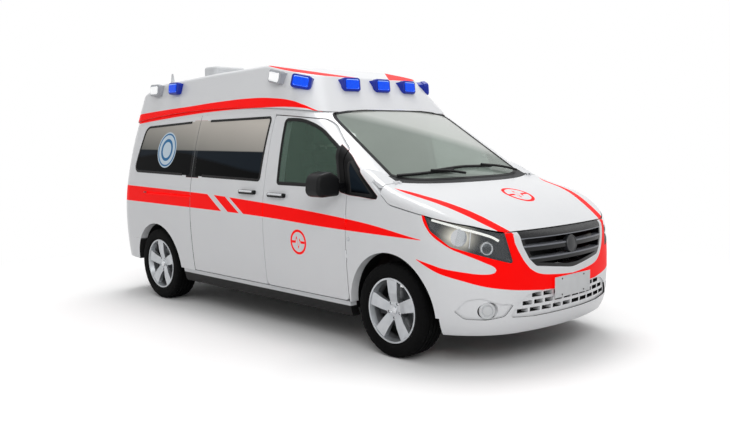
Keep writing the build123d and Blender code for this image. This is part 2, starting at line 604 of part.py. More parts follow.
# Wheel arch liners: a hoop over each wheel, closed inside at the rear
liners = []
hull_room = lower_body(LOWER_LEVELS, WALL + SEAT)
for axle_x, inner_y in ((FRONT_AXLE_X, 735.0), (REAR_AXLE_X, 640.0)):
    hoop = crosswise(axle_x, TYRE_RADIUS, LINER_RADIUS + 4, -1000, -inner_y)
    hoop -= crosswise(axle_x, TYRE_RADIUS, LINER_RADIUS, -1000, -inner_y)
    hoop = hoop & block(axle_x - 500, axle_x + 500, -1000, -600, TYRE_RADIUS + 40, 900)
    if inner_y < 700:
        back = crosswise(axle_x, TYRE_RADIUS, LINER_RADIUS + 4, -inner_y, -inner_y + 6)
        hoop += back & block(axle_x - 500, axle_x + 500, -1000, -600, TYRE_RADIUS + 40, 900)
    hoop = hoop & hull_room
    liners += [hoop, flip(hoop)]
keep("wheel_arch_liners", Compound(children=liners))

# Firewall and cab bulkhead
FIREWALL_X = DOOR_FRONT_X - 20.0
wall_plan = make_face(Polyline(
    (FIREWALL_X, -884), (FIREWALL_X, -500), (FIREWALL_X + 205, -500), (FIREWALL_X + 205, 500),
    (FIREWALL_X, 500), (FIREWALL_X, 884), (FIREWALL_X + 19, 884), (FIREWALL_X + 19, 520),
    (FIREWALL_X + 225, 520), (FIREWALL_X + 225, -520), (FIREWALL_X + 19, -520), (FIREWALL_X + 19, -884),
    (FIREWALL_X, -884)))
firewall = along_z(wall_plan, FLOOR_TOP, BELT_Z - 8)
firewall += block(FIREWALL_X, FIREWALL_X + 225, -520, 520, FLOOR_TOP, FLOOR_TOP + 20)
keep("firewall", firewall & cabin_room)
bulkhead = cabin_room & block(DOOR_REAR_X - 60, DOOR_REAR_X - 32, -1000, 1000, FLOOR_TOP, 1690)
bulkhead -= block(DOOR_REAR_X - 80, DOOR_REAR_X, -330, 330, 1150, 1560)
keep("bulkhead", bulkhead)

# Cab fittings
dash_face = outline(((FIREWALL_X - 170, 780, 30), (FIREWALL_X - 205, 960, 40), (FIREWALL_X - 150, 1085, 60),
                     (FIREWALL_X - 0.1, 1100), (FIREWALL_X - 0.1, 780)))
keep("dashboard", along_y(dash_face, -820, 820))
WHEEL_SPOT = (DOOR_FRONT_X - 300.0, 390.0, 1085.0)
ring_face = Plane.XZ * (Pos(186, 0) * RegularPolygon(15, 8))
ring = revolve(ring_face, Axis.Z)
spokes = Box(360, 44, 12) + Pos(-60, 0, 0) * Box(150, 60, 12) + Cylinder(62, 34)
column = Pos(0, 0, -170) * Cylinder(28, 340)
steering = Pos(*WHEEL_SPOT) * Rot(0, -62, 0) * (ring + spokes + column)
steering -= along_y(dash_face, -900, 900)
steering = max(steering.solids(), key=lambda s: s.volume)
keep("steering_wheel", steering)


def chair(x, y, base_z):
    cushion = fillet(Box(500, 500, 150).edges(), 50)
    rest = fillet(Box(130, 480, 640).edges(), 50)
    head = fillet(Box(90, 270, 190).edges(), 40)
    seat = Pos(x, y, base_z + 290) * cushion
    seat += Pos(x - 255, y, base_z + 640) * Rot(0, -14, 0) * rest
    seat += Pos(x - 345, y, base_z + 1050) * Rot(0, -14, 0) * head
    for post in (-60, 60):
        seat += Pos(x - 328, y + post, base_z + 960) * Rot(0, -14, 0) * Cylinder(7, 160)
    return seat + block(x - 190, x + 190, y - 200, y + 200, base_z, base_z + 240)


keep("front_seats", Compound(children=[chair(DOOR_REAR_X + 385.0, y, FLOOR_TOP) for y in (-400.0, 400.0)]))
bed_x = SLIDE_REAR_X - 180.0
bed = block(bed_x - 960, bed_x + 960, -270, 270, 790, 830)
for x in (bed_x - 700, bed_x + 700):
    for y in (-220, 220):
        bed += block(x - 20, x + 20, y - 20, y + 20, FLOOR_TOP, 800)
keep("stretcher_frame", bed)
mattress = fillet(block(bed_x - 940, bed_x + 940, -255, 255, 830, 910).edges(), 25)
keep("stretcher_mattress", mattress)

# Engine and running gear
keep("engine", block(FRONT_AXLE_X - 60, FRONT_AXLE_X + 540, -300, 300, 300, 900))
subframe = block(FRONT_AXLE_X - 100, FRONT_AXLE_X + 100, -560, 560, 200, 300)
for side in (-1, 1):
    low, high = side * 460 - 40, side * 460 + 40
    subframe += block(DOOR_FRONT_X - 60, FRONT_AXLE_X + 640, low, high, 240, 300)
    subframe += block(DOOR_FRONT_X - 60, DOOR_FRONT_X - 10, low, high, 250, FLOOR_LOW)
    low, high = sorted((side * 540, side * PIVOT_LOW[0]))
    subframe += block(FRONT_AXLE_X - 32, FRONT_AXLE_X + 32, low, high, 186, 214)
subframe += block(FRONT_AXLE_X + 600, FRONT_AXLE_X + 640, -560, 560, 240, 330)
ball_cup = on_axis(24.0, 184, 216)
ball_hole = on_axis(14.0 + SEAT, 176, 230)
subframe = (subframe + ball_cup + flip(ball_cup)) - ball_hole - flip(ball_hole)
keep("front_subframe", subframe)


def caliper(axle_x):
    body = block(axle_x - 188, axle_x - 105, -856, -784, TYRE_RADIUS - 52, TYRE_RADIUS + 52)
    body -= crosswise(axle_x, TYRE_RADIUS, 156, -838, -802)
    return body + block(axle_x - 150, axle_x - 20, -790, -680, TYRE_RADIUS - 28, TYRE_RADIUS + 28)


knuckle = block(FRONT_AXLE_X - 35, FRONT_AXLE_X + 35, -714, -655, 240, 725)
knuckle += on_axis(27.0, 700, SHELF_Z - SEAT - 6)
knuckle += block(FRONT_AXLE_X - 24, FRONT_AXLE_X + 24, -788, -690, 234, 262)
knuckle += on_axis(14.0, 188, 250)
knuckle += crosswise(FRONT_AXLE_X, TYRE_RADIUS, SPINDLE_RADIUS, -WHEEL_Y - 30, -690)
knuckle += caliper(FRONT_AXLE_X)
keep("knuckle_right", knuckle)
keep("knuckle_left", flip(knuckle))

rear_axle = crosswise(REAR_AXLE_X, TYRE_RADIUS, 38.0, -690, 690)
for side in (-1, 1):
    low, high = sorted((side * 690, side * (WHEEL_Y + 30)))
    rear_axle += crosswise(REAR_AXLE_X, TYRE_RADIUS, SPINDLE_RADIUS, low, high)
    low, high = sorted((side * 540, side * 600))
    rear_axle += block(REAR_AXLE_X, REAR_AXLE_X + 520, low, high, 308, 368)
    rear_axle += block(REAR_AXLE_X + 460, REAR_AXLE_X + 520, low, high, 340, FLOOR_LOW)
brake = caliper(REAR_AXLE_X)
rear_axle += brake
rear_axle += flip(brake)
keep("rear_axle", rear_axle)

PIPE_Y, PIPE_Z = -300.0, 250.0
exhaust = lengthwise(PIPE_Y, PIPE_Z, 30.0, TAIL_X + 95, FRONT_AXLE_X - 150)
exhaust += lengthwise(PIPE_Y, PIPE_Z, 95.0, -700, -100)
for x in (TAIL_X + 250, -400.0, DOOR_FRONT_X - 200):
    exhaust += block(x - 15, x + 15, PIPE_Y - 12, PIPE_Y + 12, PIPE_Z + 20, FLOOR_LOW)
exhaust -= lengthwise(PIPE_Y, PIPE_Z, 25.0, TAIL_X + 90, TAIL_X + 400)
keep("exhaust", exhaust)
tank = block(-900, 250, 60, 640, 250, FLOOR_LOW)
keep("fuel_tank", fillet(tank.edges().filter_by(Axis.X), 50))

# Wheels: tyre, and a rim with five spokes, hub and brake disc
half = TYRE_WIDTH / 2
SHOULDER_TALL, SHOULDER_WIDE = 7.0, 19.0
tyre_face = make_face(Polyline(
    (RIM_RADIUS + SEAT, -half), (TYRE_RADIUS - SHOULDER_TALL, -half), (TYRE_RADIUS, -half + SHOULDER_WIDE),
    (TYRE_RADIUS, half - SHOULDER_WIDE), (TYRE_RADIUS - SHOULDER_TALL, half), (RIM_RADIUS + SEAT, half),
    (RIM_RADIUS + SEAT, -half)))
tyre = revolve(Plane.XY * tyre_face, Axis.Y)
barrel_face = make_face(Polyline(
    (RIM_RADIUS, -98), (RIM_RADIUS, 98), (RIM_RADIUS - 12, 98), (RIM_RADIUS - 25, 60),
    (RIM_RADIUS - 25, -70), (RIM_RADIUS - 14, -98), (RIM_RADIUS, -98)))
wheel_rim = revolve(Plane.XY * barrel_face, Axis.Y)
SPOKES = 5
spoke_front = outline(((-34, 40), (34, 40), (50, RIM_RADIUS - 16), (-50, RIM_RADIUS - 16)))
spoke_side = outline(((62, 0), (56, 70), (48, RIM_RADIUS), (92, RIM_RADIUS), (84, 120), (70, 60), (70, 0)))
spoke = along_y(spoke_front, 0, 120) & along_x(spoke_side, -200, 200)
for i in range(SPOKES):
    wheel_rim += Rot(0, 360 / SPOKES * i, 0) * spoke
wheel_rim += crosswise(0, 0, 72.0, -26, 70)
wheel_rim += crosswise(0, 0, 150.0, -22, 2)
wheel_rim -= crosswise(0, 0, SPINDLE_RADIUS + SEAT, -30, 33)
for i in range(SPOKES):
    bolt = Rot(0, 360 / SPOKES * (i + 0.5), 0) * crosswise(0, 56, 11.0, 40, 80)
    wheel_rim -= bolt
for place, axle_x in (("front", FRONT_AXLE_X), ("rear", REAR_AXLE_X)):
    spot = Pos(axle_x, WHEEL_Y, TYRE_RADIUS)
    for piece, shape in (("tyre", tyre), ("rim", wheel_rim)):
        keep(piece + "_" + place + "_left", spot * shape)
        keep(piece + "_" + place + "_right", flip(spot * shape))


# Points on the raised roof's side at a height, found on its plan outline
def roof_level(z):
    low, high = ROOF_LEVELS
    part = (z - low[0]) / (high[0] - low[0])
    return [a + (b - a) * part for a, b in zip(low, high)]


def roof_front_point(y, z):
    _, nose, half, _, nose_r, corner, _ = roof_level(z)
    reach, turn_x, turn_y = end_arcs(nose_r, corner, half)
    mid = nose - nose_r
    if abs(y) <= turn_y:
        return mid + sqrt(nose_r ** 2 - y ** 2), atan2(y, sqrt(nose_r ** 2 - y ** 2))
    rise = abs(y) - (half - corner)
    along = sqrt(corner ** 2 - rise ** 2)
    return mid + reach + along, atan2(rise, along) * (1 if y > 0 else -1)


def roof_lamp(x, y, z, turn, roll=0.0):
    face = fillet(Rectangle(LAMP_WIDE, LAMP_TALL).vertices(), 26)
    body = extrude(face, amount=44)
    body = fillet(body.faces().sort_by(Axis.Z)[-1].edges(), 12)
    body += Pos(0, 0, -40) * Box(LAMP_WIDE - 16, LAMP_TALL - 16, 82)
    stand = Plane(origin=(x, y, z), x_dir=(-sin(turn), cos(turn), 0), z_dir=(cos(turn), sin(turn), 0.1))
    return (stand * Rot(0, 0, roll) * body) - roof_outer


LAMP_WIDE, LAMP_TALL = 168.0, 112.0
FRONT_LAMPS = (
    # sideways, height, roll
    (0.0, 1972.0, 0.0),
    (-326.0, 1972.0, 0.0),
    (326.0, 1972.0, 0.0),
    (-682.0, 1986.0, -11.0),
    (682.0, 1986.0, 11.0),
)
blue = []
for y, z, roll in FRONT_LAMPS:
    x, turn = roof_front_point(y, z)
    blue.append(roof_lamp(x + 16 * cos(turn), y + 16 * sin(turn), z, turn, roll))
SIDE_LAMPS = (
    # distance from the front axle, height, roll, kind
    (-1500.0, 2036.0, -11.0, "white"),
    (-3082.5, 2004.0, 0.0, "blue"),
    (-3430.0, 2000.0, 0.0, "white"),
)
white = []
for ahead, z, roll, kind in SIDE_LAMPS:
    half_there = roof_level(z)[2]
    lamp = roof_lamp(FRONT_AXLE_X + ahead, -half_there - 14, z, -pi / 2, roll)
    (blue if kind == "blue" else white).extend([lamp, flip(lamp)])
for y in (-470.0, 470.0):
    rear_x = roof_level(1800.0)[3]
    blue.append(roof_lamp(rear_x + 10, y, 1800.0, pi))
blue = [max(lamp.solids(), key=lambda s: s.volume) for lamp in blue]
white = [max(lamp.solids(), key=lambda s: s.volume) for lamp in white]
keep("blue_lamps", Compound(children=blue))
keep("white_lamps", Compound(children=white))

# Roof vent and aerial foot
VENT_X, VENT_TOP = REAR_AXLE_X - 198.0, 2260.0
vent = block(VENT_X - 120, VENT_X + 120, -190, 190, 1950, VENT_TOP)
vent = fillet(vent.edges().filter_by(Axis.Z), 60)
vent = fillet(vent.faces().sort_by(Axis.Z)[-1].edges(), 30) - roof_outer
vent = max(vent.solids(), key=lambda s: s.center().Z)
aerial = Pos(REAR_AXLE_X - 408, -480, 2083) * Cone(34, 8, 200)
aerial = max((aerial - roof_outer).solids(), key=lambda s: s.center().Z)
keep("roof_fittings", Compound(children=[vent, aerial]))

os.makedirs("parts", exist_ok=True)
for name, part in nodes.items():
    export_step(part, "parts/" + name + ".step")
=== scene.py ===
import math

import bmesh
import bpy
from mathutils import Matrix, Quaternion, Vector
from mathutils.bvhtree import BVHTree


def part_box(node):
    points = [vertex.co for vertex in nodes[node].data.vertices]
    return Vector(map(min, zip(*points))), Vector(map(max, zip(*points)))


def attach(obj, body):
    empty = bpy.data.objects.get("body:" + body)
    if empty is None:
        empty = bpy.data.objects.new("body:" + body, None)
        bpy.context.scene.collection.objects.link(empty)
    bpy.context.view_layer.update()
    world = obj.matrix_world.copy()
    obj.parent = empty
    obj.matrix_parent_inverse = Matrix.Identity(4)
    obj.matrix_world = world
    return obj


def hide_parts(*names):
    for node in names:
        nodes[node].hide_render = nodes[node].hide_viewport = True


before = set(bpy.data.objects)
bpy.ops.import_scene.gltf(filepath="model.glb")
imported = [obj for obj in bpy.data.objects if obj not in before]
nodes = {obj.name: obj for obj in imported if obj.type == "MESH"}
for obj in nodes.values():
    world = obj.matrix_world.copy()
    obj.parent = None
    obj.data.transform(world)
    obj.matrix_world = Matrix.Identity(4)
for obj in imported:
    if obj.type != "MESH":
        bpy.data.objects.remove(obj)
scene = bpy.context.scene
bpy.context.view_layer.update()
print("frame loaded with", len(nodes), "solids")


def middleOf(node):
    low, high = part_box(node)
    return (Vector(low) + Vector(high)) / 2


frontAxle = middleOf("tyre_front_left")
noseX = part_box("front_bumper")[1][0]
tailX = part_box("rear_bumper")[0][0]


class Wire:  # one socket of a finish, with the operators that shader maths needs
    def __init__(self, finish, socket):
        self.finish = finish
        self.socket = socket

    def maths(self, operation, other=None, swap=False, clamp=False):
        pair = [self] if other is None else [other, self] if swap else [self, other]
        return self.finish.add("Math", {"operation": operation, "use_clamp": clamp}, pair)

    def __add__(self, other):
        return self.maths("ADD", other)

    def __sub__(self, other):
        return self.maths("SUBTRACT", other)

    def __rsub__(self, other):
        return self.maths("SUBTRACT", other, swap=True)

    def __mul__(self, other):
        return self.maths("MULTIPLY", other)

    def __truediv__(self, other):
        return self.maths("DIVIDE", other)

    def __pow__(self, other):
        return self.maths("POWER", other)

    def __and__(self, other):
        return self.maths("MINIMUM", other)

    def __or__(self, other):
        return self.maths("MAXIMUM", other)

    def __abs__(self):
        return self.maths("ABSOLUTE")

    def over(self, edge, soft=0.003):  # 1 where this is above edge, 0 below, with a soft step
        return ((self - edge) / soft).maths("ADD", 0.5, clamp=True)

    def under(self, edge, soft=0.003):
        return ((self - edge) / -soft).maths("ADD", 0.5, clamp=True)

    def between(self, low, high, soft=0.003):
        return self.over(low, soft) & self.under(high, soft)

    __radd__ = __add__
    __rmul__ = __mul__


class Finish:  # one material, or the studio's sky, and the nodes that it is made of
    def __init__(self, name, shelf=bpy.data.materials):
        self.owner = shelf.new(name)
        self.owner.use_nodes = True
        self.tree = self.owner.node_tree
        self.tree.nodes.clear()

    def add(self, kind, settings=None, sockets=(), out=0):
        node = self.tree.nodes.new("ShaderNode" + kind)
        for key, value in (settings or {}).items():
            if key == "points":
                curve = node.mapping.curves[0]
                while len(curve.points) < len(value):
                    curve.points.new(0.5, 0.5)
                for point, place in zip(curve.points, value):
                    point.location = place
                    point.handle_type = "AUTO_CLAMPED"
                node.mapping.update()
            else:
                setattr(node, key, value)
        pairs = sockets.items() if isinstance(sockets, dict) else enumerate(sockets)
        for key, value in pairs:
            if isinstance(value, Wire):
                self.tree.links.new(value.socket, node.inputs[key])
            else:
                node.inputs[key].default_value = value
        return Wire(self, node.outputs[out]) if node.outputs else None

    def place(self, space="Object"):
        return self.add("TexCoord", out=space)

    def axes(self, vector):
        first = self.add("SeparateXYZ", sockets=[vector])
        return [Wire(self, socket) for socket in first.socket.node.outputs]

    def noise(self, scale, detail=3.0):
        return self.add("TexNoise", sockets={"Vector": self.place(), "Scale": scale, "Detail": detail})

    def line(self, across, points):  # a drawn line as its height over the value across
        (x0, x1), (y0, y1) = [(min(side), max(side)) for side in zip(*points)]
        tall = max(y1 - y0, 1e-6)
        shape = [((x - x0) / (x1 - x0), (y - y0) / tall) for x, y in sorted(points)]
        along = (across - x0) / (x1 - x0)
        return self.add("FloatCurve", {"points": shape}, {"Value": along}) * tall + y0

    def mix(self, mask, first, second):
        return self.add("Mix", {"data_type": "RGBA"}, {0: mask, 6: first, 7: second}, out=2)

    def bump(self, height, strength, distance):
        return self.add("Bump", sockets={"Height": height, "Strength": strength, "Distance": distance})

    def shade(self, **sockets):
        named = {key.replace("_", " "): value for key, value in sockets.items()}
        return self.add("BsdfPrincipled", sockets=named)

    def close(self, surface, kind="Material"):
        self.add("Output" + kind, sockets={"Surface": surface})
        return self.owner


def tone(red, green, blue):  # screen colour 0 to 255 as a linear colour
    steps = [value / 255 for value in (red, green, blue)]
    return tuple(s / 12.92 if s < 0.04045 else ((s + 0.055) / 1.055) ** 2.4 for s in steps) + (1.0,)


# Red film drawn over the white body: each line is a list of points in metres.
# "around" runs round the nose: 0 over the front wheel, larger towards the middle of the front.
livery = {
    "white": tone(240, 241, 243), "whiteShade": tone(234, 236, 239), "lining": tone(150, 152, 154),
    # The red film's glow is painted light that keeps the red bright in shade; the film is no lamp.
    "red": tone(238, 6, 4), "redShade": tone(230, 4, 3), "filmPaintedGlow": 0.46, "black": tone(10, 10, 11),
    "noseLow": [(-0.482, 0.734), (-0.415, 0.694), (-0.333, 0.654), (-0.253, 0.630), (-0.180, 0.611),
                (-0.098, 0.588), (-0.015, 0.568), (0.069, 0.553), (0.183, 0.535), (0.323, 0.518),
                (0.440, 0.506), (0.632, 0.500)],
    "noseTop": [(-0.500, 1.047), (-0.428, 1.032), (0.100, 0.922), (0.154, 0.912), (0.176, 0.849),
                (0.211, 0.777), (0.259, 0.703), (0.307, 0.655), (0.368, 0.625), (0.480, 0.606),
                (0.607, 0.594)],
    "tongueLow": [(-0.482, 0.738), (-0.390, 0.713), (-0.309, 0.690), (-0.228, 0.677), (-0.156, 0.667),
                  (-0.082, 0.657), (-0.015, 0.654), (0.027, 0.660), (0.043, 0.676)],
    "tongueTop": [(-0.443, 1.037), (-0.437, 1.004), (-0.414, 0.953), (-0.376, 0.903), (-0.324, 0.863),
                  (-0.244, 0.816), (-0.195, 0.797), (-0.114, 0.765), (-0.032, 0.730), (0.035, 0.695),
                  (0.043, 0.682)],
    "bonnetOuter": [(1.524, 0.858), (1.665, 0.843), (1.829, 0.817), (1.973, 0.774), (2.104, 0.722),
                    (2.200, 0.681), (2.278, 0.641)],
    "bonnetInner": [(1.524, 0.858), (1.625, 0.802), (1.778, 0.763), (1.920, 0.715), (2.050, 0.658),
                    (2.147, 0.617), (2.245, 0.578), (2.320, 0.544)],
    "roofTop": [(-2.132, 1.777), (-1.776, 1.802), (-1.242, 1.832), (-0.755, 1.861), (-0.232, 1.877),
                (0.052, 1.866), (0.255, 1.845), (0.409, 1.810), (0.512, 1.773), (0.577, 1.745)],
    "roofLow": [(-2.144, 1.682), (-1.758, 1.715), (-1.232, 1.754), (-0.746, 1.780), (-0.223, 1.793),
                (0.080, 1.794), (0.281, 1.789), (0.435, 1.778), (0.530, 1.757), (0.577, 1.745)],
    "sideTop": [(-2.40, 1.082), (-0.734, 1.055), (-0.383, 1.044), (1.106, 0.964), (1.875, 0.872)],
    "sideLow": [(-2.40, 0.930), (-0.498, 0.919), (-0.179, 0.916), (1.106, 0.879), (1.875, 0.868)],
    "noseStart": -0.482, "tongueEnd": 0.043, "bonnetStart": 1.526, "bonnetAbove": 0.9,
    "roofEnd": 0.575, "sideEnd": 1.872,
    "slants": [(-0.604, -0.505), (-0.341, -0.281)], "slantLevel": 0.98, "slantRun": 1.65,
    "leafInner": (0.378, 0.205), "leafOuter": (-0.14, 0.655), "leafLow": 2.030, "leafFacing": 0.84,
    "doorRing": (0.559, 0.743, 0.098), "doorOut": 0.8,
    "bonnetRing": (1.955, 0.0, 0.125), "ringAbove": 0.95,
    "sailTop": [(0.930, 1.500), (0.990, 1.464), (1.058, 1.420), (1.190, 1.322), (1.355, 1.208),
                (1.445, 1.140)],
    "sailLow": [(0.930, 1.470), (1.030, 1.160), (1.099, 1.140), (1.264, 1.127), (1.427, 1.117),
                (1.445, 1.139)],
    "sailSpan": (0.932, 1.442), "windowBand": (-1.110, -0.900, 1.190, 1.700), "trimOut": 0.78,
    "pulse": [(-0.8, 0.0), (-0.36, 0.0), (-0.2, 0.36), (0.02, -0.42), (0.2, 0.2), (0.32, 0.0), (0.8, 0.0)],
}


def ringMark(paint, across, up, size):  # a plain ring with a pulse line through it
    across, up = across / size, up / size
    far = (across * across + up * up).maths("SQRT")
    pulse = abs(up - paint.line(across, livery["pulse"])).under(0.1, 0.04) & far.under(0.8, 0.03)
    return far.between(0.80, 1.0, 0.03) | pulse


def stripe(paint, value, across, low, top):  # where a value lies between two drawn lines
    return value.between(paint.line(across, livery[low]), paint.line(across, livery[top]))


def drawLivery(paint, x, y, z):
    side = abs(y)
    around = (x - frontAxle.x - side) / math.sqrt(2)
    tongue = stripe(paint, z, around, "tongueLow", "tongueTop") & around.under(livery["tongueEnd"])
    nose = stripe(paint, z, around, "noseLow", "noseTop") & (1 - tongue) & around.over(livery["noseStart"])
    bonnet = stripe(paint, side, x, "bonnetInner", "bonnetOuter")
    bonnet = bonnet & z.over(livery["bonnetAbove"]) & x.over(livery["bonnetStart"])
    roof = stripe(paint, z, x, "roofLow", "roofTop") & x.under(livery["roofEnd"])
    belt = stripe(paint, z, x, "sideLow", "sideTop") & x.under(livery["sideEnd"])
    slope = x + (z - livery["slantLevel"]) * livery["slantRun"]
    for start, end in livery["slants"]:
        belt = belt & (1 - slope.between(start, end))
    (x0, y0), (x1, y1) = livery["leafInner"], livery["leafOuter"]
    beyond = (x - x0) * (y1 - y0) + (side - y0) * (x0 - x1)  # above 0 outside the leaf's inner edge
    top = paint.axes(paint.place("Normal"))[2]
    leaf = beyond.over(0, 0.002) & z.over(livery["leafLow"]) & top.over(livery["leafFacing"], 0.03)
    spotX, spotZ, size = livery["doorRing"]
    doorMark = ringMark(paint, x - spotX, z - spotZ, size) & side.over(livery["doorOut"])
    spotX, spotY, size = livery["bonnetRing"]
    bonnetMark = ringMark(paint, y - spotY, x - spotX, size) & z.over(livery["ringAbove"])
    return nose | bonnet | roof | belt | leaf | doorMark | bonnetMark


def drawTrim(paint, x, y, z):  # black corner before the door glass, and the band between the side windows
    outer = abs(y).over(livery["trimOut"])
    sail = stripe(paint, z, x, "sailLow", "sailTop") & x.between(*livery["sailSpan"])
    start, end, low, high = livery["windowBand"]
    band = x.between(start, end) & z.between(low, high)
    return sail & outer, band & outer


# Glass: how dark it is, how much shows through and what is drawn on it, painted sky reflections included.
glassLooks = {
    "door": {"tint": tone(100, 128, 112), "clear": 0.62, "shine": 0.25},
    # screen: its sky and skyline draw a painted reflection of a pale sky on the upper right
    "screen": {"tint": tone(176, 186, 178), "clear": 0.46, "shine": 0.3, "sky": tone(236, 238, 234),
               "skyline": [(-0.66, 1.74), (0.70, 1.36)], "skyClear": -0.28},
    # side: its sky, hills and dusk draw a painted reflection in the base colour, and its glow is painted
    # light
    "side": {"low": tone(4, 5, 6), "dusk": tone(26, 34, 42), "high": tone(104, 106, 102),
             "sky": tone(206, 200, 192), "level": 1.43, "glow": 0.12,
             "hills": [(-2.4, 1.30), (-1.9, 1.36), (-1.3, 1.40), (-0.9, 1.35), (-0.3, 1.28), (0.2, 1.24)],
             "disc": (-1.508, 1.431, 0.165), "discPale": tone(206, 222, 234),
             "discRings": tone(60, 120, 170)},
}


def privacyTintWithPaintedSky(paint, x, z):  # dark privacy glass with a painted reflection of a pale sky and a dark skyline
    look = glassLooks["side"]
    smear = paint.noise(2.0, 4.0)
    hills = paint.line(x, look["hills"]) + smear * 0.03
    low = paint.mix(z.over(hills, 0.03), look["low"], look["dusk"])
    rise = ((z - look["level"]) * 2.2 + (x + 1.2) * 0.22 + smear * 0.1).maths("ADD", 0.2, clamp=True)
    high = paint.mix(rise, look["high"], look["sky"])
    return paint.mix(z.over(look["level"] + smear * 0.004, 0.010), low, high)


# Body: a surface that faces the core, a point inside the car, is lining and not paint.
bodyLook = {"core": (0.0, 0.0, 1.05), "coreShape": (0.2, 1.0, 1.0), "archHeight": 0.80, "peel": 45.0}


def bodyFinish():
    paint = Finish("bodyPaint")
    place = paint.place()
    x, y, z = paint.axes(place)
    red = drawLivery(paint, x, y, z)
    inward = paint.add("VectorMath", {"operation": "MULTIPLY"}, [place, bodyLook["coreShape"]])
    inward = paint.add("VectorMath", {"operation": "SUBTRACT"}, [inward, bodyLook["core"]])
    facing = paint.add("VectorMath", {"operation": "DOT_PRODUCT"}, [paint.place("Normal"), inward], "Value")
    inside = facing.under(-0.05, 0.04)
    sail, band = drawTrim(paint, x, y, z)
    trim = (sail | band) & (1 - inside)
    # The band between the side windows takes the side glass's colour with its painted sky reflection.
    black = paint.mix(band, livery["black"], privacyTintWithPaintedSky(paint, x, z))
    cloud = paint.noise(2.5)
    white = paint.mix(cloud, livery["white"], livery["whiteShade"])
    lining = paint.mix(z.under(bodyLook["archHeight"], 0.05), livery["lining"], livery["black"])
    peel = paint.bump(paint.noise(bodyLook["peel"], 2.0), 0.03, 0.0006)
    gloss = paint.shade(Base_Color=paint.mix(inside, white, lining), Normal=peel,
                        Roughness=cloud * 0.06 + 0.26 + inside * 0.35,
                        Coat_Weight=(1 - inside) * 0.25, Coat_Roughness=0.08)
    # The red film glows a little: painted light that keeps the red bright in shade.
    redFilm = paint.mix(cloud, livery["red"], livery["redShade"])
    # The black trim glows faintly with a dimmed copy of its colour: painted light, like the red film's glow.
    trimPaintedGlow = paint.mix(0.74, black, (0, 0, 0, 1))
    film = paint.shade(Base_Color=paint.mix(trim, redFilm, black), Normal=peel, Roughness=cloud * 0.1 + 0.40,
                       Emission_Color=paint.mix(trim, livery["red"], trimPaintedGlow),
                       Emission_Strength=livery["filmPaintedGlow"], Specular_IOR_Level=0.08)
    return paint.close(paint.add("MixShader", sockets=[(red | trim) & (1 - inside), gloss, film]))


# Finishes that are one colour with grain, wear and dust; what a finish leaves out comes from the usual look.
usualLook = {"rough": 0.3, "metal": 0.0, "grain": 200, "relief": 0.05, "shine": 0.5, "glow": 0.0}
plainFinishes = {
    "black_plastic": {"colour": tone(7, 7, 9), "dust": tone(17, 18, 20), "rough": 0.42, "shine": 0.18,
                      "grain": 700, "relief": 0.25},
    "steel": {"colour": tone(70, 72, 75), "dust": tone(48, 44, 42), "rough": 0.5, "metal": 0.8, "grain": 60,
              "relief": 0.2},
    "floor_steel": {"colour": tone(38, 39, 41), "dust": tone(58, 55, 52), "rough": 0.7, "grain": 90,
                    "relief": 0.3},
    "cabin_plastic": {"colour": tone(52, 54, 57), "dust": tone(66, 68, 70), "rough": 0.62, "grain": 500,
                      "relief": 0.4},
    "alloy": {"colour": tone(196, 199, 203), "dust": tone(168, 170, 172), "metal": 0.75, "grain": 300},
    "bright_steel": {"colour": tone(214, 216, 219), "dust": tone(188, 190, 193), "rough": 0.22, "metal": 0.9},
    "tyre": {"colour": tone(7, 7, 8), "dust": tone(17, 17, 17), "rough": 0.8, "shine": 0.08, "grain": 400,
             "relief": 0.5},
    "seat_fabric": {"colour": tone(58, 62, 68), "dust": tone(76, 80, 86), "rough": 0.92, "grain": 1400,
                    "relief": 0.8},
    "mattress_cover": {"colour": tone(44, 74, 120), "dust": tone(60, 92, 138), "rough": 0.6, "grain": 300,
                       "relief": 0.3},
    "rubber": {"colour": tone(10, 10, 11), "dust": tone(22, 22, 23), "rough": 0.55, "shine": 0.2,
               "grain": 300, "relief": 0.2},
    "plate": {"colour": tone(224, 226, 228), "dust": tone(206, 208, 210), "rough": 0.4, "grain": 120},
    "pale_plastic": {"colour": tone(226, 228, 230), "dust": tone(206, 208, 210), "rough": 0.4, "grain": 300,
                     "relief": 0.08},
    "nose_cover": {"colour": tone(30, 31, 34), "dust": tone(44, 45, 49), "relief": 0.04},
    "blue_housing": {"colour": tone(8, 36, 150), "dust": tone(16, 50, 176), "shine": 0.3, "glow": 0.12},
    "white_housing": {"colour": tone(186, 189, 194), "dust": tone(168, 171, 176)},
    "lampBulb": {"colour": tone(255, 252, 240), "dust": tone(250, 246, 232), "grain": 90, "glow": 1.1},
    "lampStrip": {"colour": tone(250, 249, 244), "dust": tone(238, 238, 234), "rough": 0.25, "glow": 0.45},
}


def plainFinish(name):
    look = {**usualLook, **plainFinishes[name]}
    paint = Finish(name)
    cloud = paint.noise(6.0, 5.0)
    grain = paint.noise(look["grain"], 2.0)
    colour = paint.mix(cloud.over(0.55, 0.5), look["colour"], look["dust"])
    return paint.close(paint.shade(Base_Color=colour, Roughness=grain * 0.12 + (look["rough"] - 0.06),
                                   Metallic=look["metal"], Specular_IOR_Level=look["shine"],
                                   Emission_Color=colour, Emission_Strength=look["glow"],
                                   Normal=paint.bump(grain, look["relief"], 0.0008)))


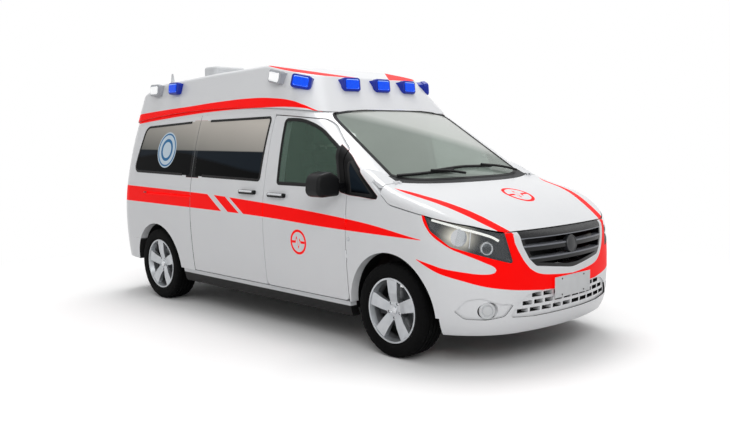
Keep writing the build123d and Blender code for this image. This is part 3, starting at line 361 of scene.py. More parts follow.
def clearGlass(name):
    look = glassLooks[name]
    paint = Finish(name + "Glass")
    x, y, z = paint.axes(paint.place())
    smear = paint.noise(3.0, 4.0)
    tint = paint.mix(smear, look["tint"], tuple(c * 0.85 for c in look["tint"][:3]) + (1.0,))
    clear = look["clear"]
    if "sky" in look:  # the upper right of the screen carries a painted reflection of a pale sky
        (y0, z0), (y1, z1) = look["skyline"]
        above = z - ((y - y0) * ((z1 - z0) / (y1 - y0)) + z0)
        sky = above.over(0.03, 0.09) * 0.75 + above.over(0.25, 0.5) * 0.25
        tint = paint.mix(sky, tint, look["sky"])
        clear = sky * look["skyClear"] + clear
    body = paint.shade(Base_Color=tint, Roughness=smear * 0.02 + 0.01, Specular_IOR_Level=look["shine"])
    through = paint.add("BsdfTransparent", sockets={"Color": (0.86, 0.92, 0.89, 1.0)})
    return paint.close(paint.add("MixShader", sockets=[clear, body, through]))


def sideGlass():
    look = glassLooks["side"]
    paint = Finish("sideGlass")
    x, y, z = paint.axes(paint.place())
    smear = paint.noise(2.0, 4.0)
    discX, discZ, size = look["disc"]
    far = ((x - discX) ** 2.0 + (z - discZ) ** 2.0).maths("SQRT") / size
    disc = far.under(1.0, 0.03) & y.under(0.0)
    rings = far.between(0.84, 0.93, 0.02) | far.between(0.45, 0.62, 0.02)
    mark = paint.mix(rings, look["discPale"], look["discRings"])
    # The colour carries the painted sky reflection, and the pane glows a little with it: painted light, as
    # the glass is no lamp.
    colour = paint.mix(disc, privacyTintWithPaintedSky(paint, x, z), mark)
    return paint.close(paint.shade(Base_Color=colour, Roughness=smear * 0.05 + 0.12, Specular_IOR_Level=0.02,
                                   Emission_Color=colour, Emission_Strength=look["glow"]))


# Lamp lenses: colour in the middle and a painted highlight on the bevels (painted shade on the white lamps),
# and how much of it the lens gives back by itself.
lensLooks = {
    "lamp_blue": {"middle": tone(8, 96, 255), "edge": tone(150, 190, 255), "dark": tone(2, 40, 214),
                  "glow": 0.42},
    "lamp_white": {"middle": tone(252, 252, 250), "edge": tone(150, 154, 160), "dark": tone(230, 233, 237),
                   "glow": 0.50},
    "lamp_red": {"middle": tone(196, 18, 16), "edge": tone(232, 70, 60), "dark": tone(120, 8, 8),
                 "glow": 0.10, "bands": [(0.44, 0.60, tone(222, 222, 220)),
                                        (0.30, 0.42, tone(236, 120, 20))]},
    "lamp_clear": {"middle": tone(70, 74, 78), "edge": tone(90, 94, 98), "dark": tone(36, 38, 41),
                   "glow": 0.0},
}


def lensFinish(name):
    look = lensLooks[name]
    paint = Finish(name)
    x, y, z = paint.axes(paint.place())
    facingUp = paint.axes(paint.place("Normal"))[2]
    bevel = abs(facingUp).between(0.32, 0.90, 0.08)  # the rounded edges above and below each lens, where a painted highlight lies (painted shade on the white lamps)
    ribs = ((x + y) * 420).maths("SINE") * 0.5 + 0.5
    cells = paint.add("TexVoronoi", sockets={"Vector": paint.place(), "Scale": 70.0})
    colour = paint.mix(cells * 0.5 + ribs * 0.25, look["middle"], look["dark"])
    bottom, top = [corner[2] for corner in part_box("tail_lamps")]
    for low, high, band in look.get("bands", []):  # shares of the tail lamp's height
        inBand = z.between(bottom + low * (top - bottom), bottom + high * (top - bottom))
        colour = paint.mix(inBand, colour, band)
    # Painted highlight on the bevels; on the white lamps it is painted shade.
    colour = paint.mix(bevel, colour, look["edge"])
    return paint.close(paint.shade(Base_Color=colour, Roughness=ribs * 0.06 + 0.14, Specular_IOR_Level=0.12,
                                   Coat_Weight=0.12, Coat_Roughness=0.05, Emission_Color=colour,
                                   Emission_Strength=look["glow"], Normal=paint.bump(ribs, 0.1, 0.001)))


# Head lamps: a clear lens over a dark bowl with a light strip, a reflector, a projector and a fin.
# Points are on the right lamp, as metres ahead, sideways and up; the left lamp mirrors them.
lampLook = {
    "rings": [(0.992, 0.003), (0.965, 0.018), (0.90, 0.032), (0.75, 0.042), (0.50, 0.048), (0.25, 0.050),
              (0.03, 0.051)],  # shares of the outline, and how deep the bowl is there
    "strip": [(1.950, 0.931, 1.006), (2.014, 0.906, 0.990), (2.082, 0.873, 0.971), (2.144, 0.833, 0.949),
              (2.193, 0.790, 0.933), (2.237, 0.741, 0.914), (2.274, 0.694, 0.893), (2.298, 0.657, 0.868)],
    "reflector": (2.125, 0.856, 0.893), "reflectorWide": 0.060,
    "projector": (2.260, 0.733, 0.820), "projectorWide": 0.047,
    "fin": [(2.181, 0.806, 0.925), (2.182, 0.812, 0.880), (2.182, 0.822, 0.825)],
    # The bowl's bright colour and glow are painted light round the reflector.
    "bowlDark": (tone(22, 23, 27), tone(34, 36, 41)), "bowlPaintedLight": tone(240, 234, 218),
    "bowlPaintedGlow": tone(255, 250, 236), "aim": 0.37, "lowest": 0.6,
}


def clearLens():
    paint = Finish("clearLens")
    smear = paint.noise(14.0, 3.0)
    gloss = paint.shade(Base_Color=tone(200, 206, 210), Roughness=smear * 0.03 + 0.02, Specular_IOR_Level=0.5)
    through = paint.add("BsdfTransparent", sockets={"Color": (0.97, 0.98, 0.98, 1.0)})
    return paint.close(paint.add("MixShader", sockets=[smear * 0.02 + 0.88, gloss, through]))


def lampBowl():  # dark towards the corners, with a painted glow of light round the reflector
    paint = Finish("lampBowl")
    x, y, z = paint.axes(paint.place())
    ahead, side, up = lampLook["reflector"]
    around = ((x - ahead) - (abs(y) - side)) / math.sqrt(2)
    far = (around * around + (z - up) * (z - up) * 1.6).maths("SQRT")
    near = far.under(0.085, 0.17)
    near = near * near
    ribs = (around * 260).maths("SINE") * 0.5 + 0.5
    dark = paint.mix(ribs, *lampLook["bowlDark"])
    # Painted light: a bright, glowing patch round the reflector.
    return paint.close(paint.shade(Base_Color=paint.mix(near, dark, lampLook["bowlPaintedLight"]),
                                   Roughness=ribs * 0.1 + 0.3, Metallic=near * 0.4, Specular_IOR_Level=0.2,
                                   Emission_Color=paint.mix(near, (0, 0, 0, 1), lampLook["bowlPaintedGlow"]),
                                   Emission_Strength=0.8, Normal=paint.bump(ribs, 0.1, 0.002)))


# Grille: heights of the painted highlights along the slats' upper edges, and the fine mesh above them.
grilleLook = {"dark": tone(10, 10, 12), "slat": tone(30, 31, 34), "edge": tone(128, 131, 138), "mesh": 520.0,
              "edges": [(0.812, 0.824), (0.729, 0.741), (0.866, 0.874)], "band": 0.876, "highlightDeep": 0.13}


def grilleFinish():
    look = grilleLook
    paint = Finish("grille")
    x, y, z = paint.axes(paint.place())
    cells = ((y * look["mesh"]).maths("SINE") * (z * look["mesh"]).maths("SINE")).over(0.0, 0.6)
    mesh = cells * z.over(look["band"], 0.002)
    first, second, third = [z.between(low, high) for low, high in look["edges"]]
    # Painted highlight on the slats' upper edges near the front.
    bright = (first | second | third) & x.over(noseX - look["highlightDeep"], 0.02)
    colour = paint.mix(bright, paint.mix(mesh * 0.8 + 0.2, look["dark"], look["slat"]), look["edge"])
    return paint.close(paint.shade(Base_Color=colour, Roughness=cells * 0.1 + 0.2, Specular_IOR_Level=0.3,
                                   Normal=paint.bump(mesh, 0.4, 0.002)))


# Rims: bright machined spoke faces over a barrel darkened with painted shade, told apart by the distance from
# the car's middle.
rimLook = {"face": (0.838, 0.03), "bright": tone(206, 209, 212), "shade": tone(168, 171, 175),
           "barrelPaintedShade": tone(58, 59, 61)}


def rimFinish():
    look = rimLook
    paint = Finish("rim")
    x, y, z = paint.axes(paint.place())
    cloud = paint.noise(14.0, 4.0)
    grain = paint.noise(300.0, 2.0)
    out = abs(y).over(*look["face"])
    # The barrel's dark colour is painted shade in the rim's hollow.
    colour = paint.mix(out, look["barrelPaintedShade"], paint.mix(cloud, look["bright"], look["shade"]))
    return paint.close(paint.shade(Base_Color=colour, Roughness=grain * 0.08 + 0.26,
                                   Metallic=out * 0.15 + 0.6, Normal=paint.bump(grain, 0.04, 0.0006)))


# Pieces that wear another finish beyond a distance sideways and above a height.
edgedLooks = {
    "cowl": {"inner": (tone(22, 23, 25), tone(40, 41, 43)), "outer": (livery["white"], tone(232, 234, 237)),
             "edge": 0.76, "above": 0.0},
    "floorPan": {"inner": (tone(14, 14, 15), tone(26, 25, 25)),
                 "outer": (tone(232, 234, 236), tone(214, 217, 220)), "edge": 0.87, "above": 0.312},
}


def edgedFinish(name):
    look = edgedLooks[name]
    paint = Finish(name)
    x, y, z = paint.axes(paint.place())
    cloud = paint.noise(6.0, 5.0)
    grain = paint.noise(500.0, 2.0)
    beyond = abs(y).over(look["edge"], 0.004) & z.over(look["above"], 0.004)
    colour = paint.mix(beyond, paint.mix(cloud, *look["inner"]), paint.mix(cloud, *look["outer"]))
    return paint.close(paint.shade(Base_Color=colour, Roughness=cloud * 0.06 + 0.5 - beyond * 0.22,
                                   Specular_IOR_Level=0.2, Coat_Weight=beyond * 0.5,
                                   Normal=paint.bump(grain, 0.1, 0.0006)))


finishes = {"bodyPaint": bodyFinish(), "sideGlass": sideGlass(), "clearLens": clearLens(),
            "lampBowl": lampBowl(), "grille": grilleFinish(), "rim": rimFinish()}
finishes.update({name: edgedFinish(name) for name in edgedLooks})
finishes.update({name: plainFinish(name) for name in plainFinishes})
finishes.update({name: lensFinish(name) for name in lensLooks})
finishes.update({name + "Glass": clearGlass(name) for name in ("door", "screen")})
print("finishes made:", len(finishes))

wearers = {
    "bodyPaint": ["cab_frame", "wing_left", "wing_right", "side_wall_left", "side_wall_right", "sliding_door",
                  "front_door_left", "front_door_right", "tail_door_left", "tail_door_right", "bonnet",
                  "roof_cap", "front_bumper", "rear_bumper"],
    "sideGlass": ["side_windows", "tail_glass_left", "tail_glass_right"],
    "doorGlass": ["door_glass_left", "door_glass_right"],
    "screenGlass": ["windscreen"],
    "black_plastic": ["mirror_left", "mirror_right", "handle_left", "handle_right", "slide_handle",
                      "wheel_arch_liners"],
    "grille": ["grille"], "cowl": ["cowl"], "floorPan": ["floor_pan"],
    "lamp_clear": ["head_lamps"], "lamp_red": ["tail_lamps"], "blue_housing": ["blue_lamps"],
    "white_housing": ["white_lamps"], "pale_plastic": ["roof_fittings"],
    "cabin_plastic": ["dashboard", "steering_wheel", "bulkhead"],
    "floor_steel": ["firewall", "fuel_tank"],
    "steel": ["engine", "front_subframe", "knuckle_left", "knuckle_right", "rear_axle", "exhaust"],
    "rim": ["rim_front_left", "rim_front_right", "rim_rear_left", "rim_rear_right"],
    "bright_steel": ["stretcher_frame"], "seat_fabric": ["front_seats"],
    "mattress_cover": ["stretcher_mattress"],
    "tyre": ["tyre_front_left", "tyre_front_right", "tyre_rear_left", "tyre_rear_right"],
}
for finish, worn in wearers.items():
    for name in worn:
        nodes[name].data.materials.clear()
        nodes[name].data.materials.append(finishes[finish])
print("finishes put on the solids")

# Studio: a pale floor that turns white away from the object, two soft lamps and the photograph's camera.
studio = {
    "floor": 40.0, "lift": 0.36, "reach": 1.9, "fade": (3.4, 5.2), "worldLight": 0.40, "aim": (0, 0, 0.8),
    "lamps": [("topLamp", (-2.6, 2.4, 13.6), 6.0, 880), ("frontLamp", (8.0, -6.0, 6.5), 5.0, 300)],
    "eye": (5.6169, -4.8467, 1.5783), "yaw": 132.875, "pitch": -7.285, "roll": -0.30,
    "lens": 40.3, "shift": (-0.0962, 0.0292),
}


def seenRays(paint):  # 1 for rays that should see the white background
    camera = paint.add("LightPath", out="Is Camera Ray")
    outputs = camera.socket.node.outputs
    return camera | Wire(paint, outputs["Is Glossy Ray"]) | Wire(paint, outputs["Is Transmission Ray"])


def floorFinish():
    paint = Finish("studioFloor")
    x, y, z = paint.axes(paint.place())
    far = (x * x + y * y).maths("SQRT")
    start, end = studio["fade"]
    away = ((far - start) / (end - start)).maths("ADD", 0.0, clamp=True)
    lit = paint.add("BsdfDiffuse", sockets={"Color": (0.86, 0.86, 0.86, 1.0)})
    bounce = paint.add("BsdfDiffuse", sockets={"Color": (0.60, 0.60, 0.60, 1.0)})
    airy = paint.add("AmbientOcclusion", sockets={"Distance": studio["reach"]}, out="AO")
    lift = paint.add("Emission", sockets={"Color": paint.mix(airy * airy, (0, 0, 0, 1), (1, 1, 1, 1)),
                                          "Strength": studio["lift"]})
    glow = paint.add("Emission", sockets={"Strength": 1.0})
    near = paint.add("AddShader", sockets=[lit, lift])
    shown = paint.add("MixShader", sockets=[away, near, glow])
    return paint.close(paint.add("MixShader", sockets=[seenRays(paint), bounce, shown]))


def buildFloor():
    half = studio["floor"] / 2
    corners = [(-half, -half, 0), (half, -half, 0), (half, half, 0), (-half, half, 0)]
    mesh = bpy.data.meshes.new("studioFloor")
    mesh.from_pydata(corners, [], [(0, 1, 2, 3)])
    mesh.materials.append(floorFinish())
    floor = bpy.data.objects.new("studioFloor", mesh)
    scene.collection.objects.link(floor)


def buildLights():
    for name, spot, size, power in studio["lamps"]:
        lamp = bpy.data.objects.new(name, bpy.data.lights.new(name, "AREA"))
        lamp.data.size, lamp.data.energy = size, power
        lamp.location = spot
        lamp.rotation_mode = "QUATERNION"
        lamp.rotation_quaternion = (Vector(studio["aim"]) - Vector(spot)).to_track_quat("-Z", "Y")
        scene.collection.objects.link(lamp)
    sky = Finish("studio", bpy.data.worlds)
    level = sky.add("Mix", sockets={0: seenRays(sky), 2: studio["worldLight"], 3: 1.0})
    back = sky.add("Background", sockets={"Color": (1.0, 1.0, 1.0, 1.0), "Strength": level})
    scene.world = sky.close(back, "World")


def placeCamera():
    yaw, pitch = math.radians(studio["yaw"]), math.radians(studio["pitch"])
    ahead = Vector((math.cos(pitch) * math.cos(yaw), math.cos(pitch) * math.sin(yaw), math.sin(pitch)))
    camera = bpy.data.objects.new("photoCamera", bpy.data.cameras.new("photoCamera"))
    camera.location = studio["eye"]
    camera.rotation_mode = "QUATERNION"
    turn = Quaternion((0, 0, 1), math.radians(studio["roll"]))
    camera.rotation_quaternion = ahead.to_track_quat("-Z", "Y") @ turn
    camera.data.lens = studio["lens"]
    camera.data.shift_x, camera.data.shift_y = studio["shift"]
    scene.collection.objects.link(camera)
    scene.camera = camera


buildFloor()
buildLights()
placeCamera()
scene.view_settings.view_transform = "Standard"
print("studio and camera set")


def addPiece(name, verts, faces, finish, body, slot, crease=35.0):
    mesh = bpy.data.meshes.new(name)
    mesh.from_pydata([tuple(v) for v in verts], [], faces)
    form = bmesh.new()
    form.from_mesh(mesh)
    bmesh.ops.recalc_face_normals(form, faces=form.faces)
    form.to_mesh(mesh)
    form.free()
    mesh.materials.append(finishes[finish])
    mesh.shade_smooth()
    mesh.set_sharp_from_angle(angle=math.radians(crease))
    piece = bpy.data.objects.new(name, mesh)
    scene.collection.objects.link(piece)
    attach(piece, body)
    return piece


def joinShapes(shapes):  # several (verts, faces) as one
    verts, faces = [], []
    for some, more in shapes:
        start = len(verts)
        verts += [Vector(v) for v in some]
        faces += [tuple(start + i for i in face) for face in more]
    return verts, faces


def ringFaces(rows, count, closedRows=False):  # quads between rows of count points, each row a closed ring
    faces = []
    for row in range(rows if closedRows else rows - 1):
        below, above = row * count, (row + 1) % rows * count
        for i in range(count):
            j = (i + 1) % count
            faces.append((below + i, below + j, above + j, above + i))
    return faces


def turned(profile, count, centre, axis=(0, 1, 0)):  # (radius, along) points turned round an axis
    axis = Vector(axis).normalized()
    first = axis.orthogonal().normalized()
    second = axis.cross(first)
    verts = []
    for radius, along in profile:
        for i in range(count):
            turn = 2 * math.pi * i / count
            out = first * math.cos(turn) + second * math.sin(turn)
            verts.append(Vector(centre) + axis * along + out * radius)
    faces = ringFaces(len(profile), count)
    faces.append(tuple(range(count)))
    faces.append(tuple(range(len(verts) - count, len(verts))))
    return verts, faces


def swept(path, normals, section, closed=False):  # a section of (across, up) points carried along a path
    verts, last = [], len(path)
    for i, (spot, normal) in enumerate(zip(path, normals)):
        ahead = path[(i + 1) % last] if closed or i < last - 1 else spot
        behind = path[i - 1] if closed or i > 0 else spot
        along = (Vector(ahead) - Vector(behind)).normalized()
        across = along.cross(Vector(normal)).normalized()
        up = across.cross(along).normalized()
        verts += [Vector(spot) + across * a + up * b for a, b in section]
    faces = ringFaces(last, len(section), closed)
    if not closed:
        faces.append(tuple(range(len(section))))
        faces.append(tuple(range(len(verts) - len(section), len(verts))))
    return verts, faces


def smoothLine(points, steps):  # points along a smooth curve through a few given ones
    points = [Vector(p) for p in points]
    ends = [points[0] * 2 - points[1]] + points + [points[-1] * 2 - points[-2]]
    line = []
    for a, b, c, d in zip(ends, ends[1:], ends[2:], ends[3:]):
        for i in range(steps):
            t = i / steps
            line.append(0.5 * (2 * b + (c - a) * t + (2 * a - 5 * b + 4 * c - d) * t ** 2
                               + (3 * b - a - 3 * c + d) * t ** 3))
    return line + [points[-1]]


def boxShape(low, high, bevel=0.0):  # a block with bevelled edges
    form = bmesh.new()
    bmesh.ops.create_cube(form, size=1.0)
    low, high = Vector(low), Vector(high)
    for v in form.verts:
        v.co = Vector([(a + b) / 2 + c * (b - a) for a, b, c in zip(low, high, v.co)])
    if bevel:
        bmesh.ops.bevel(form, geom=form.edges[:], offset=bevel, segments=3, profile=0.5, affect="EDGES")
    form.verts.index_update()
    shape = [v.co.copy() for v in form.verts], [tuple(v.index for v in f.verts) for f in form.faces]
    form.free()
    return shape


def skinOf(mesh):
    return BVHTree.FromPolygons([v.co for v in mesh.vertices], [p.vertices for p in mesh.polygons])


skins = {}


def castOn(node, start, direction):  # where a line first meets a solid, and the surface's direction there
    if node not in skins:
        skins[node] = skinOf(nodes[node].data)
    return skins[node].ray_cast(Vector(start), Vector(direction).normalized())[:2]


def corners(node):  # lowest and highest corner of a solid
    return [Vector(corner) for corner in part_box(node)]


# Tyres: a turned section with four grooves, and notches cut across the shoulders.
tyreLook = {
    "half": [(0.2345, 0.088), (0.240, 0.098), (0.252, 0.1045), (0.262, 0.1062), (0.268, 0.1050),
             (0.285, 0.1068), (0.300, 0.1062), (0.304, 0.1045), (0.317, 0.1030), (0.327, 0.0975),
             (0.3325, 0.0905), (0.3355, 0.0830), (0.3362, 0.0600), (0.3285, 0.0590), (0.3285, 0.0500),
             (0.3370, 0.0490), (0.3375, 0.0230), (0.3295, 0.0220), (0.3295, 0.0120), (0.3378, 0.0110)],
    "around": 160, "notchEvery": 5, "notchShift": 2, "notchRows": (9, 10, 11), "notchDeep": 0.006,
}


def buildTyre(place):
    look = tyreLook
    section = [(r, -y) for r, y in look["half"]] + [(r, y) for r, y in reversed(look["half"])]
    centre = middleOf("tyre_" + place)
    verts = turned(section, look["around"], centre)[0]
    faces = ringFaces(len(section), look["around"], closedRows=True)
    for row in look["notchRows"]:
        for start, shift in ((row, 0), (len(section) - 1 - row, look["notchShift"])):
            for i in range(look["around"]):
                if (i + shift) % look["notchEvery"] == 0:
                    spot = verts[start * look["around"] + i]
                    out = Vector((spot.x - centre.x, 0, spot.z - centre.z)).normalized()
                    verts[start * look["around"] + i] = spot - out * look["notchDeep"]
    tyre = addPiece("tread_" + place, verts, faces, "tyre", "wheel_" + place, "tyre", crease=28.0)
    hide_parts("tyre_" + place)


# Wheel hardware: five bolt heads in the hub's holes and a plain domed cap.
hubLook = {"bolts": 5, "ring": 0.056, "bolt": 0.0098, "boltOut": (0.046, 0.064), "boltEdge": 0.003,
           "cap": 0.031, "capOut": (0.066, 0.079)}


def buildHub(place):
    look = hubLook
    centre = middleOf("tyre_" + place)
    out = Vector((0, 1 if place.endswith("left") else -1, 0))
    shapes = []
    for i in range(look["bolts"]):
        turn = 2 * math.pi * (i + 0.5) / look["bolts"]
        spot = centre + Vector((math.sin(turn), 0, math.cos(turn))) * look["ring"]
        low, high = look["boltOut"]
        profile = [(look["bolt"], low), (look["bolt"], high - look["boltEdge"]), (look["bolt"] * 0.8, high)]
        shapes.append(turned(profile, 6, spot, out))
    cap, (foot, top) = look["cap"], look["capOut"]
    profile = [(cap, foot), (cap, top - 0.006), (cap * 0.94, top - 0.002), (cap * 0.8, top - 0.001),
               (cap * 0.74, top - 0.003), (cap * 0.5, top), (cap * 0.2, top + 0.0015)]
    shapes.append(turned(profile, 40, centre, out))
    addPiece("hub_bolts_" + place, *joinShapes(shapes), "bright_steel", "wheel_" + place, "alloy")


for place in ("front_left", "front_right", "rear_left", "rear_right"):
    buildTyre(place)
    buildHub(place)
print("tyres and wheel bolts made")

# Front plate: blank, with rounded edges and four screws.
plateLook = {"half": 0.221, "low": 0.437, "high": 0.585, "thick": 0.004, "gap": 0.001, "edge": 0.0015,
             "screw": 0.006, "inset": (0.085, 0.018)}


def buildPlate():
    look = plateLook
    face = castOn("front_bumper", (noseX + 0.5, 0, look["high"] - 0.02), (-1, 0, 0))[0]
    x = face.x + look["gap"]
    low, high = (x, -look["half"], look["low"]), (x + look["thick"], look["half"], look["high"])
    addPiece("front_plate", *boxShape(low, high, look["edge"]), "plate", "body", "body_paint")
    insetY, insetZ = look["inset"]
    profile = [(look["screw"], 0.0), (look["screw"], 0.002), (look["screw"] * 0.7, 0.003)]
    screws = []
    for y in (-look["half"] + insetY, look["half"] - insetY):
        for z in (look["low"] + insetZ, look["high"] - insetZ):
            screws.append(turned(profile, 12, (x + look["thick"], y, z), (1, 0, 0)))
    addPiece("plate_screws", *joinShapes(screws), "steel", "body", "steel")


buildPlate()
print("front plate made")

# Small parts: a domed cover on the grille, repeaters on the wings and bright caps on the door handles.
smallLook = {"cover": (0.800, 0.062), "coverLean": 0.12, "repeater": (1.150, 0.817, 0.016),
             "capped": {"handle_left": "front_door_left", "handle_right": "front_door_right",
                        "slide_handle": "body"},
             "cap": 0.30, "capPoints": 13, "capEnd": 0.06, "capProud": 0.0015}


def buildNoseCover():
    height, wide = smallLook["cover"]
    face = castOn("grille", (noseX + 0.5, 0, height), (-1, 0, 0))[0]
    profile = [(wide, -0.03), (wide, 0.004), (wide * 0.95, 0.008), (wide * 0.86, 0.008), (wide * 0.82, 0.005),
               (wide * 0.5, 0.009), (wide * 0.1, 0.0105)]
    ahead = Vector((1, 0, smallLook["coverLean"]))
    addPiece("nose_cover", *turned(profile, 48, face, ahead), "nose_cover", "body", "black_plastic")


def buildRepeaters():
    along, height, wide = smallLook["repeater"]
    profile = [(wide, -0.002), (wide, 0.003), (wide * 0.8, 0.006), (wide * 0.2, 0.007)]
    shapes = []
    for side, name in ((-1, "wing_right"), (1, "wing_left")):
        face, normal = castOn(name, (along, side * 1.5, height), (0, -side, 0))
        shapes.append(turned(profile, 24, face, normal))
    addPiece("wing_repeaters", *joinShapes(shapes), "alloy", "body", "lamp_clear")


def buildHandleCap(node, body):
    look = smallLook
    low, high = corners(node)
    side = math.copysign(1, low.y + high.y)
    y = side * (max(abs(low.y), abs(high.y)) + look["capProud"])
    tall = (high.z - low.z) * look["cap"]
    path = []
    for i in range(look["capPoints"]):
        share = look["capEnd"] + (1 - 2 * look["capEnd"]) * i / (look["capPoints"] - 1)
        path.append(Vector((low.x + (high.x - low.x) * share, y, high.z - tall * 0.62)))
    section = [(-tall, -0.004), (-tall * 0.7, 0.001), (tall * 0.7, 0.001), (tall, -0.004)]
    cap = swept(path, [Vector((0, side, 0.5))] * len(path), section)
    addPiece(node + "_cap", *cap, "bright_steel", body, "steel")


# Tail handle: a bowed bar over a shallow cup, on the door that opens first.
tailHandleLook = {"fromEdge": 0.16, "height": 1.02, "cup": (0.003, 0.085, 0.034), "cupEdge": 0.002,
                  "bar": 0.14, "barUp": 0.008, "stand": 0.006, "bow": 0.020, "steps": 12}


def buildTailHandle():
    look = tailHandleLook
    edge = corners("tail_door_right")[1].y
    face = castOn("tail_door_right", (tailX - 0.5, edge - look["fromEdge"], look["height"]), (1, 0, 0))[0]
    half = Vector(look["cup"])
    cup = boxShape(face - half, face + half, look["cupEdge"])
    path = []
    for i in range(look["steps"] + 1):
        share = i / look["steps"]
        out = look["stand"] + look["bow"] * math.sin(math.pi * share)
        path.append(face + Vector((-out, look["bar"] * (share - 0.5), look["barUp"])))
    section = [(-0.011, -0.004), (-0.008, 0.004), (0.008, 0.004), (0.011, -0.004)]
    bar = swept(path, [Vector((-1, 0, 0))] * len(path), section)
    addPiece("tail_handle", *joinShapes([cup, bar]), "black_plastic", "tail_door_right", "black_plastic")


# Roof lamps: the solid is the housing, and a raised lens covers most of its outer face.
# "rows" are shares of the face's outline, and heights as shares of "proud".
roofLampLook = {"proud": 0.004, "rows": [(0.90, 0.0), (0.90, 1.0), (0.80, 1.5), (0.768, 0.8), (0.4, 1.0),
                                         (0.05, 1.0)],
                "middle": -1.2, "spread": 2.2}


def outerFaces(node):  # for each solid, the corners of its flat face that looks away from the roof's middle
    form = bmesh.new()
    form.from_mesh(nodes[node].data)
    bmesh.ops.remove_doubles(form, verts=form.verts, dist=0.00005)
    bmesh.ops.dissolve_limit(form, angle_limit=0.02, verts=form.verts, edges=form.edges)
    form.normal_update()
    left, found = dict.fromkeys(form.faces), []  # in the mesh's own order
    while left:
        group, todo = [], [next(iter(left))]
        while todo:
            face = todo.pop()
            if face in left:
                del left[face]
                group.append(face)
                todo += [other for edge in face.edges for other in edge.link_faces]
        middle = sum((f.calc_center_median() for f in group), Vector()) / len(group)
        away = Vector((middle.x - roofLampLook["middle"], middle.y * roofLampLook["spread"], 0)).normalized()
        face = max(group, key=lambda f: f.calc_area() * max(0.0, f.normal.dot(away) - 0.45))
        found.append(([v.co.copy() for v in face.verts], face.normal.copy()))
    form.free()
    return found


def buildRoofLenses(name, node, finish):
    shapes = []
    for outline, normal in outerFaces(node):
        middle, count = sum(outline, Vector()) / len(outline), len(outline)
        verts = []
        for share, lift in roofLampLook["rows"]:
            verts += [middle.lerp(spot, share) + normal * lift * roofLampLook["proud"] for spot in outline]
        last = tuple(range(len(verts) - count, len(verts)))
        shapes.append((verts, ringFaces(len(roofLampLook["rows"]), count) + [last]))
    addPiece(name, *joinShapes(shapes), finish, "body", finish)


buildRoofLenses("blue_lenses", "blue_lamps", "lamp_blue")
buildRoofLenses("white_lenses", "white_lamps", "lamp_white")
buildNoseCover()
buildRepeaters()
for node, body in smallLook["capped"].items():
    buildHandleCap(node, body)
buildTailHandle()
print("roof lenses and small parts made")

# Wipers: an arm and a blade each, resting on the foot of the screen.
wiperLook = {
    "bladeWide": 0.010, "bladeLift": 0.016, "armWide": 0.009, "armLift": 0.030,
    "blades": [[(-0.700, 1.262), (-0.518, 1.269), (-0.330, 1.279), (-0.160, 1.288)],
               [(-0.330, 1.288), (-0.050, 1.305), (0.136, 1.304), (0.344, 1.299)]],
    "arms": [[(-0.100, 1.250), (-0.240, 1.270), (-0.400, 1.278)],
             [(0.640, 1.246), (0.463, 1.280), (0.200, 1.304)]],
}


def onScreen(y, z, lift):
    spot, normal = castOn("windscreen", (3.0, y, z), (-1, 0, 0))
    if spot is None:  # below the glass
        spot, normal = castOn("cowl", (1.40, y, 2.0), (0, 0, -1))
    return spot + normal * lift, normal


def buildWipers():
    look = wiperLook
    shapes = []
    for kind in ("blade", "arm"):
        wide, lift = look[kind + "Wide"], look[kind + "Lift"]
        section = [(-wide, -0.008), (-wide * 0.7, 0.006), (wide * 0.7, 0.006), (wide, -0.008)]
        for line in look[kind + "s"]:
            flat = smoothLine([(y, z, 0) for y, z in line], 6)
            spots = [onScreen(p.x, p.y, lift) for p in flat]
            shapes.append(swept([s for s, n in spots], [n for s, n in spots], section))
    addPiece("wipers", *joinShapes(shapes), "rubber", "body", "black_plastic")


buildWipers()
print("wipers made")

# Glass seals: a soft black strip round each pane, laid on the pane's outer edge.
sealLook = {"over": 0.006, "proud": 0.003, "lift": 0.0008, "step": 0.03, "wide": 0.016, "doorWide": 0.022,
            "screenWide": 0.024, "bandGap": (-1.15, -0.86)}


def paneEdges(node, outward):  # closed lines round the outer faces of each pane, with surface directions
    form = bmesh.new()
    form.from_mesh(nodes[node].data)
    bmesh.ops.remove_doubles(form, verts=form.verts, dist=0.00005)
    form.normal_update()
    front = {f for f in form.faces if f.normal.dot(outward(f.calc_center_median())) > 0.55}
    links = {}
    for edge in form.edges:
        owners = [f for f in edge.link_faces if f in front]
        if len(owners) == 1:
            loop = next(l for l in owners[0].loops if l.edge == edge)
            links[loop.vert] = (loop.link_loop_next.vert, owners[0].normal.copy())
    lines = []
    while links:
        start = spot = next(iter(links))
        line = []
        while spot in links:
            nextSpot, normal = links.pop(spot)
            line.append((spot.co.copy(), normal))
            spot = nextSpot
        if spot == start and len(line) > 3:
            lines.append(line)
    form.free()
    return lines


def evenLine(line, gap):  # the same closed line with points a steady gap apart
    kept = []
    for (a, n), (b, m) in zip(line, line[1:] + line[:1]):
        count = max(1, round((b - a).length / gap))
        kept += [(a.lerp(b, i / count), n.lerp(m, i / count).normalized()) for i in range(count)]
    return kept


def sealPane(name, node, outward, body, wide=sealLook["wide"], leave=None):  # leave: a range with no strip
    proud, over, lift = sealLook["proud"], sealLook["over"], sealLook["lift"]
    section = [(over, 0.0), (over * 0.6, proud), (-wide * 0.8, proud), (-wide, 0.0)]
    shapes = []
    for line in paneEdges(node, outward):
        line = evenLine(line, sealLook["step"])
        kept = [leave is None or not leave[0] < p.x < leave[1] for p, n in line]
        if not all(kept):  # start behind the gap and stop before it
            first = next(i for i in range(len(line)) if kept[i] and not kept[i - 1])
            ordered = zip(line[first:] + line[:first], kept[first:] + kept[:first])
            line = [pair for pair, keep in ordered if keep]
        path, normals = [p + n * lift for p, n in line], [n for p, n in line]
        shapes.append(swept(path, normals, section, closed=all(kept)))
    addPiece(name, *joinShapes(shapes), "rubber", body, "black_plastic")


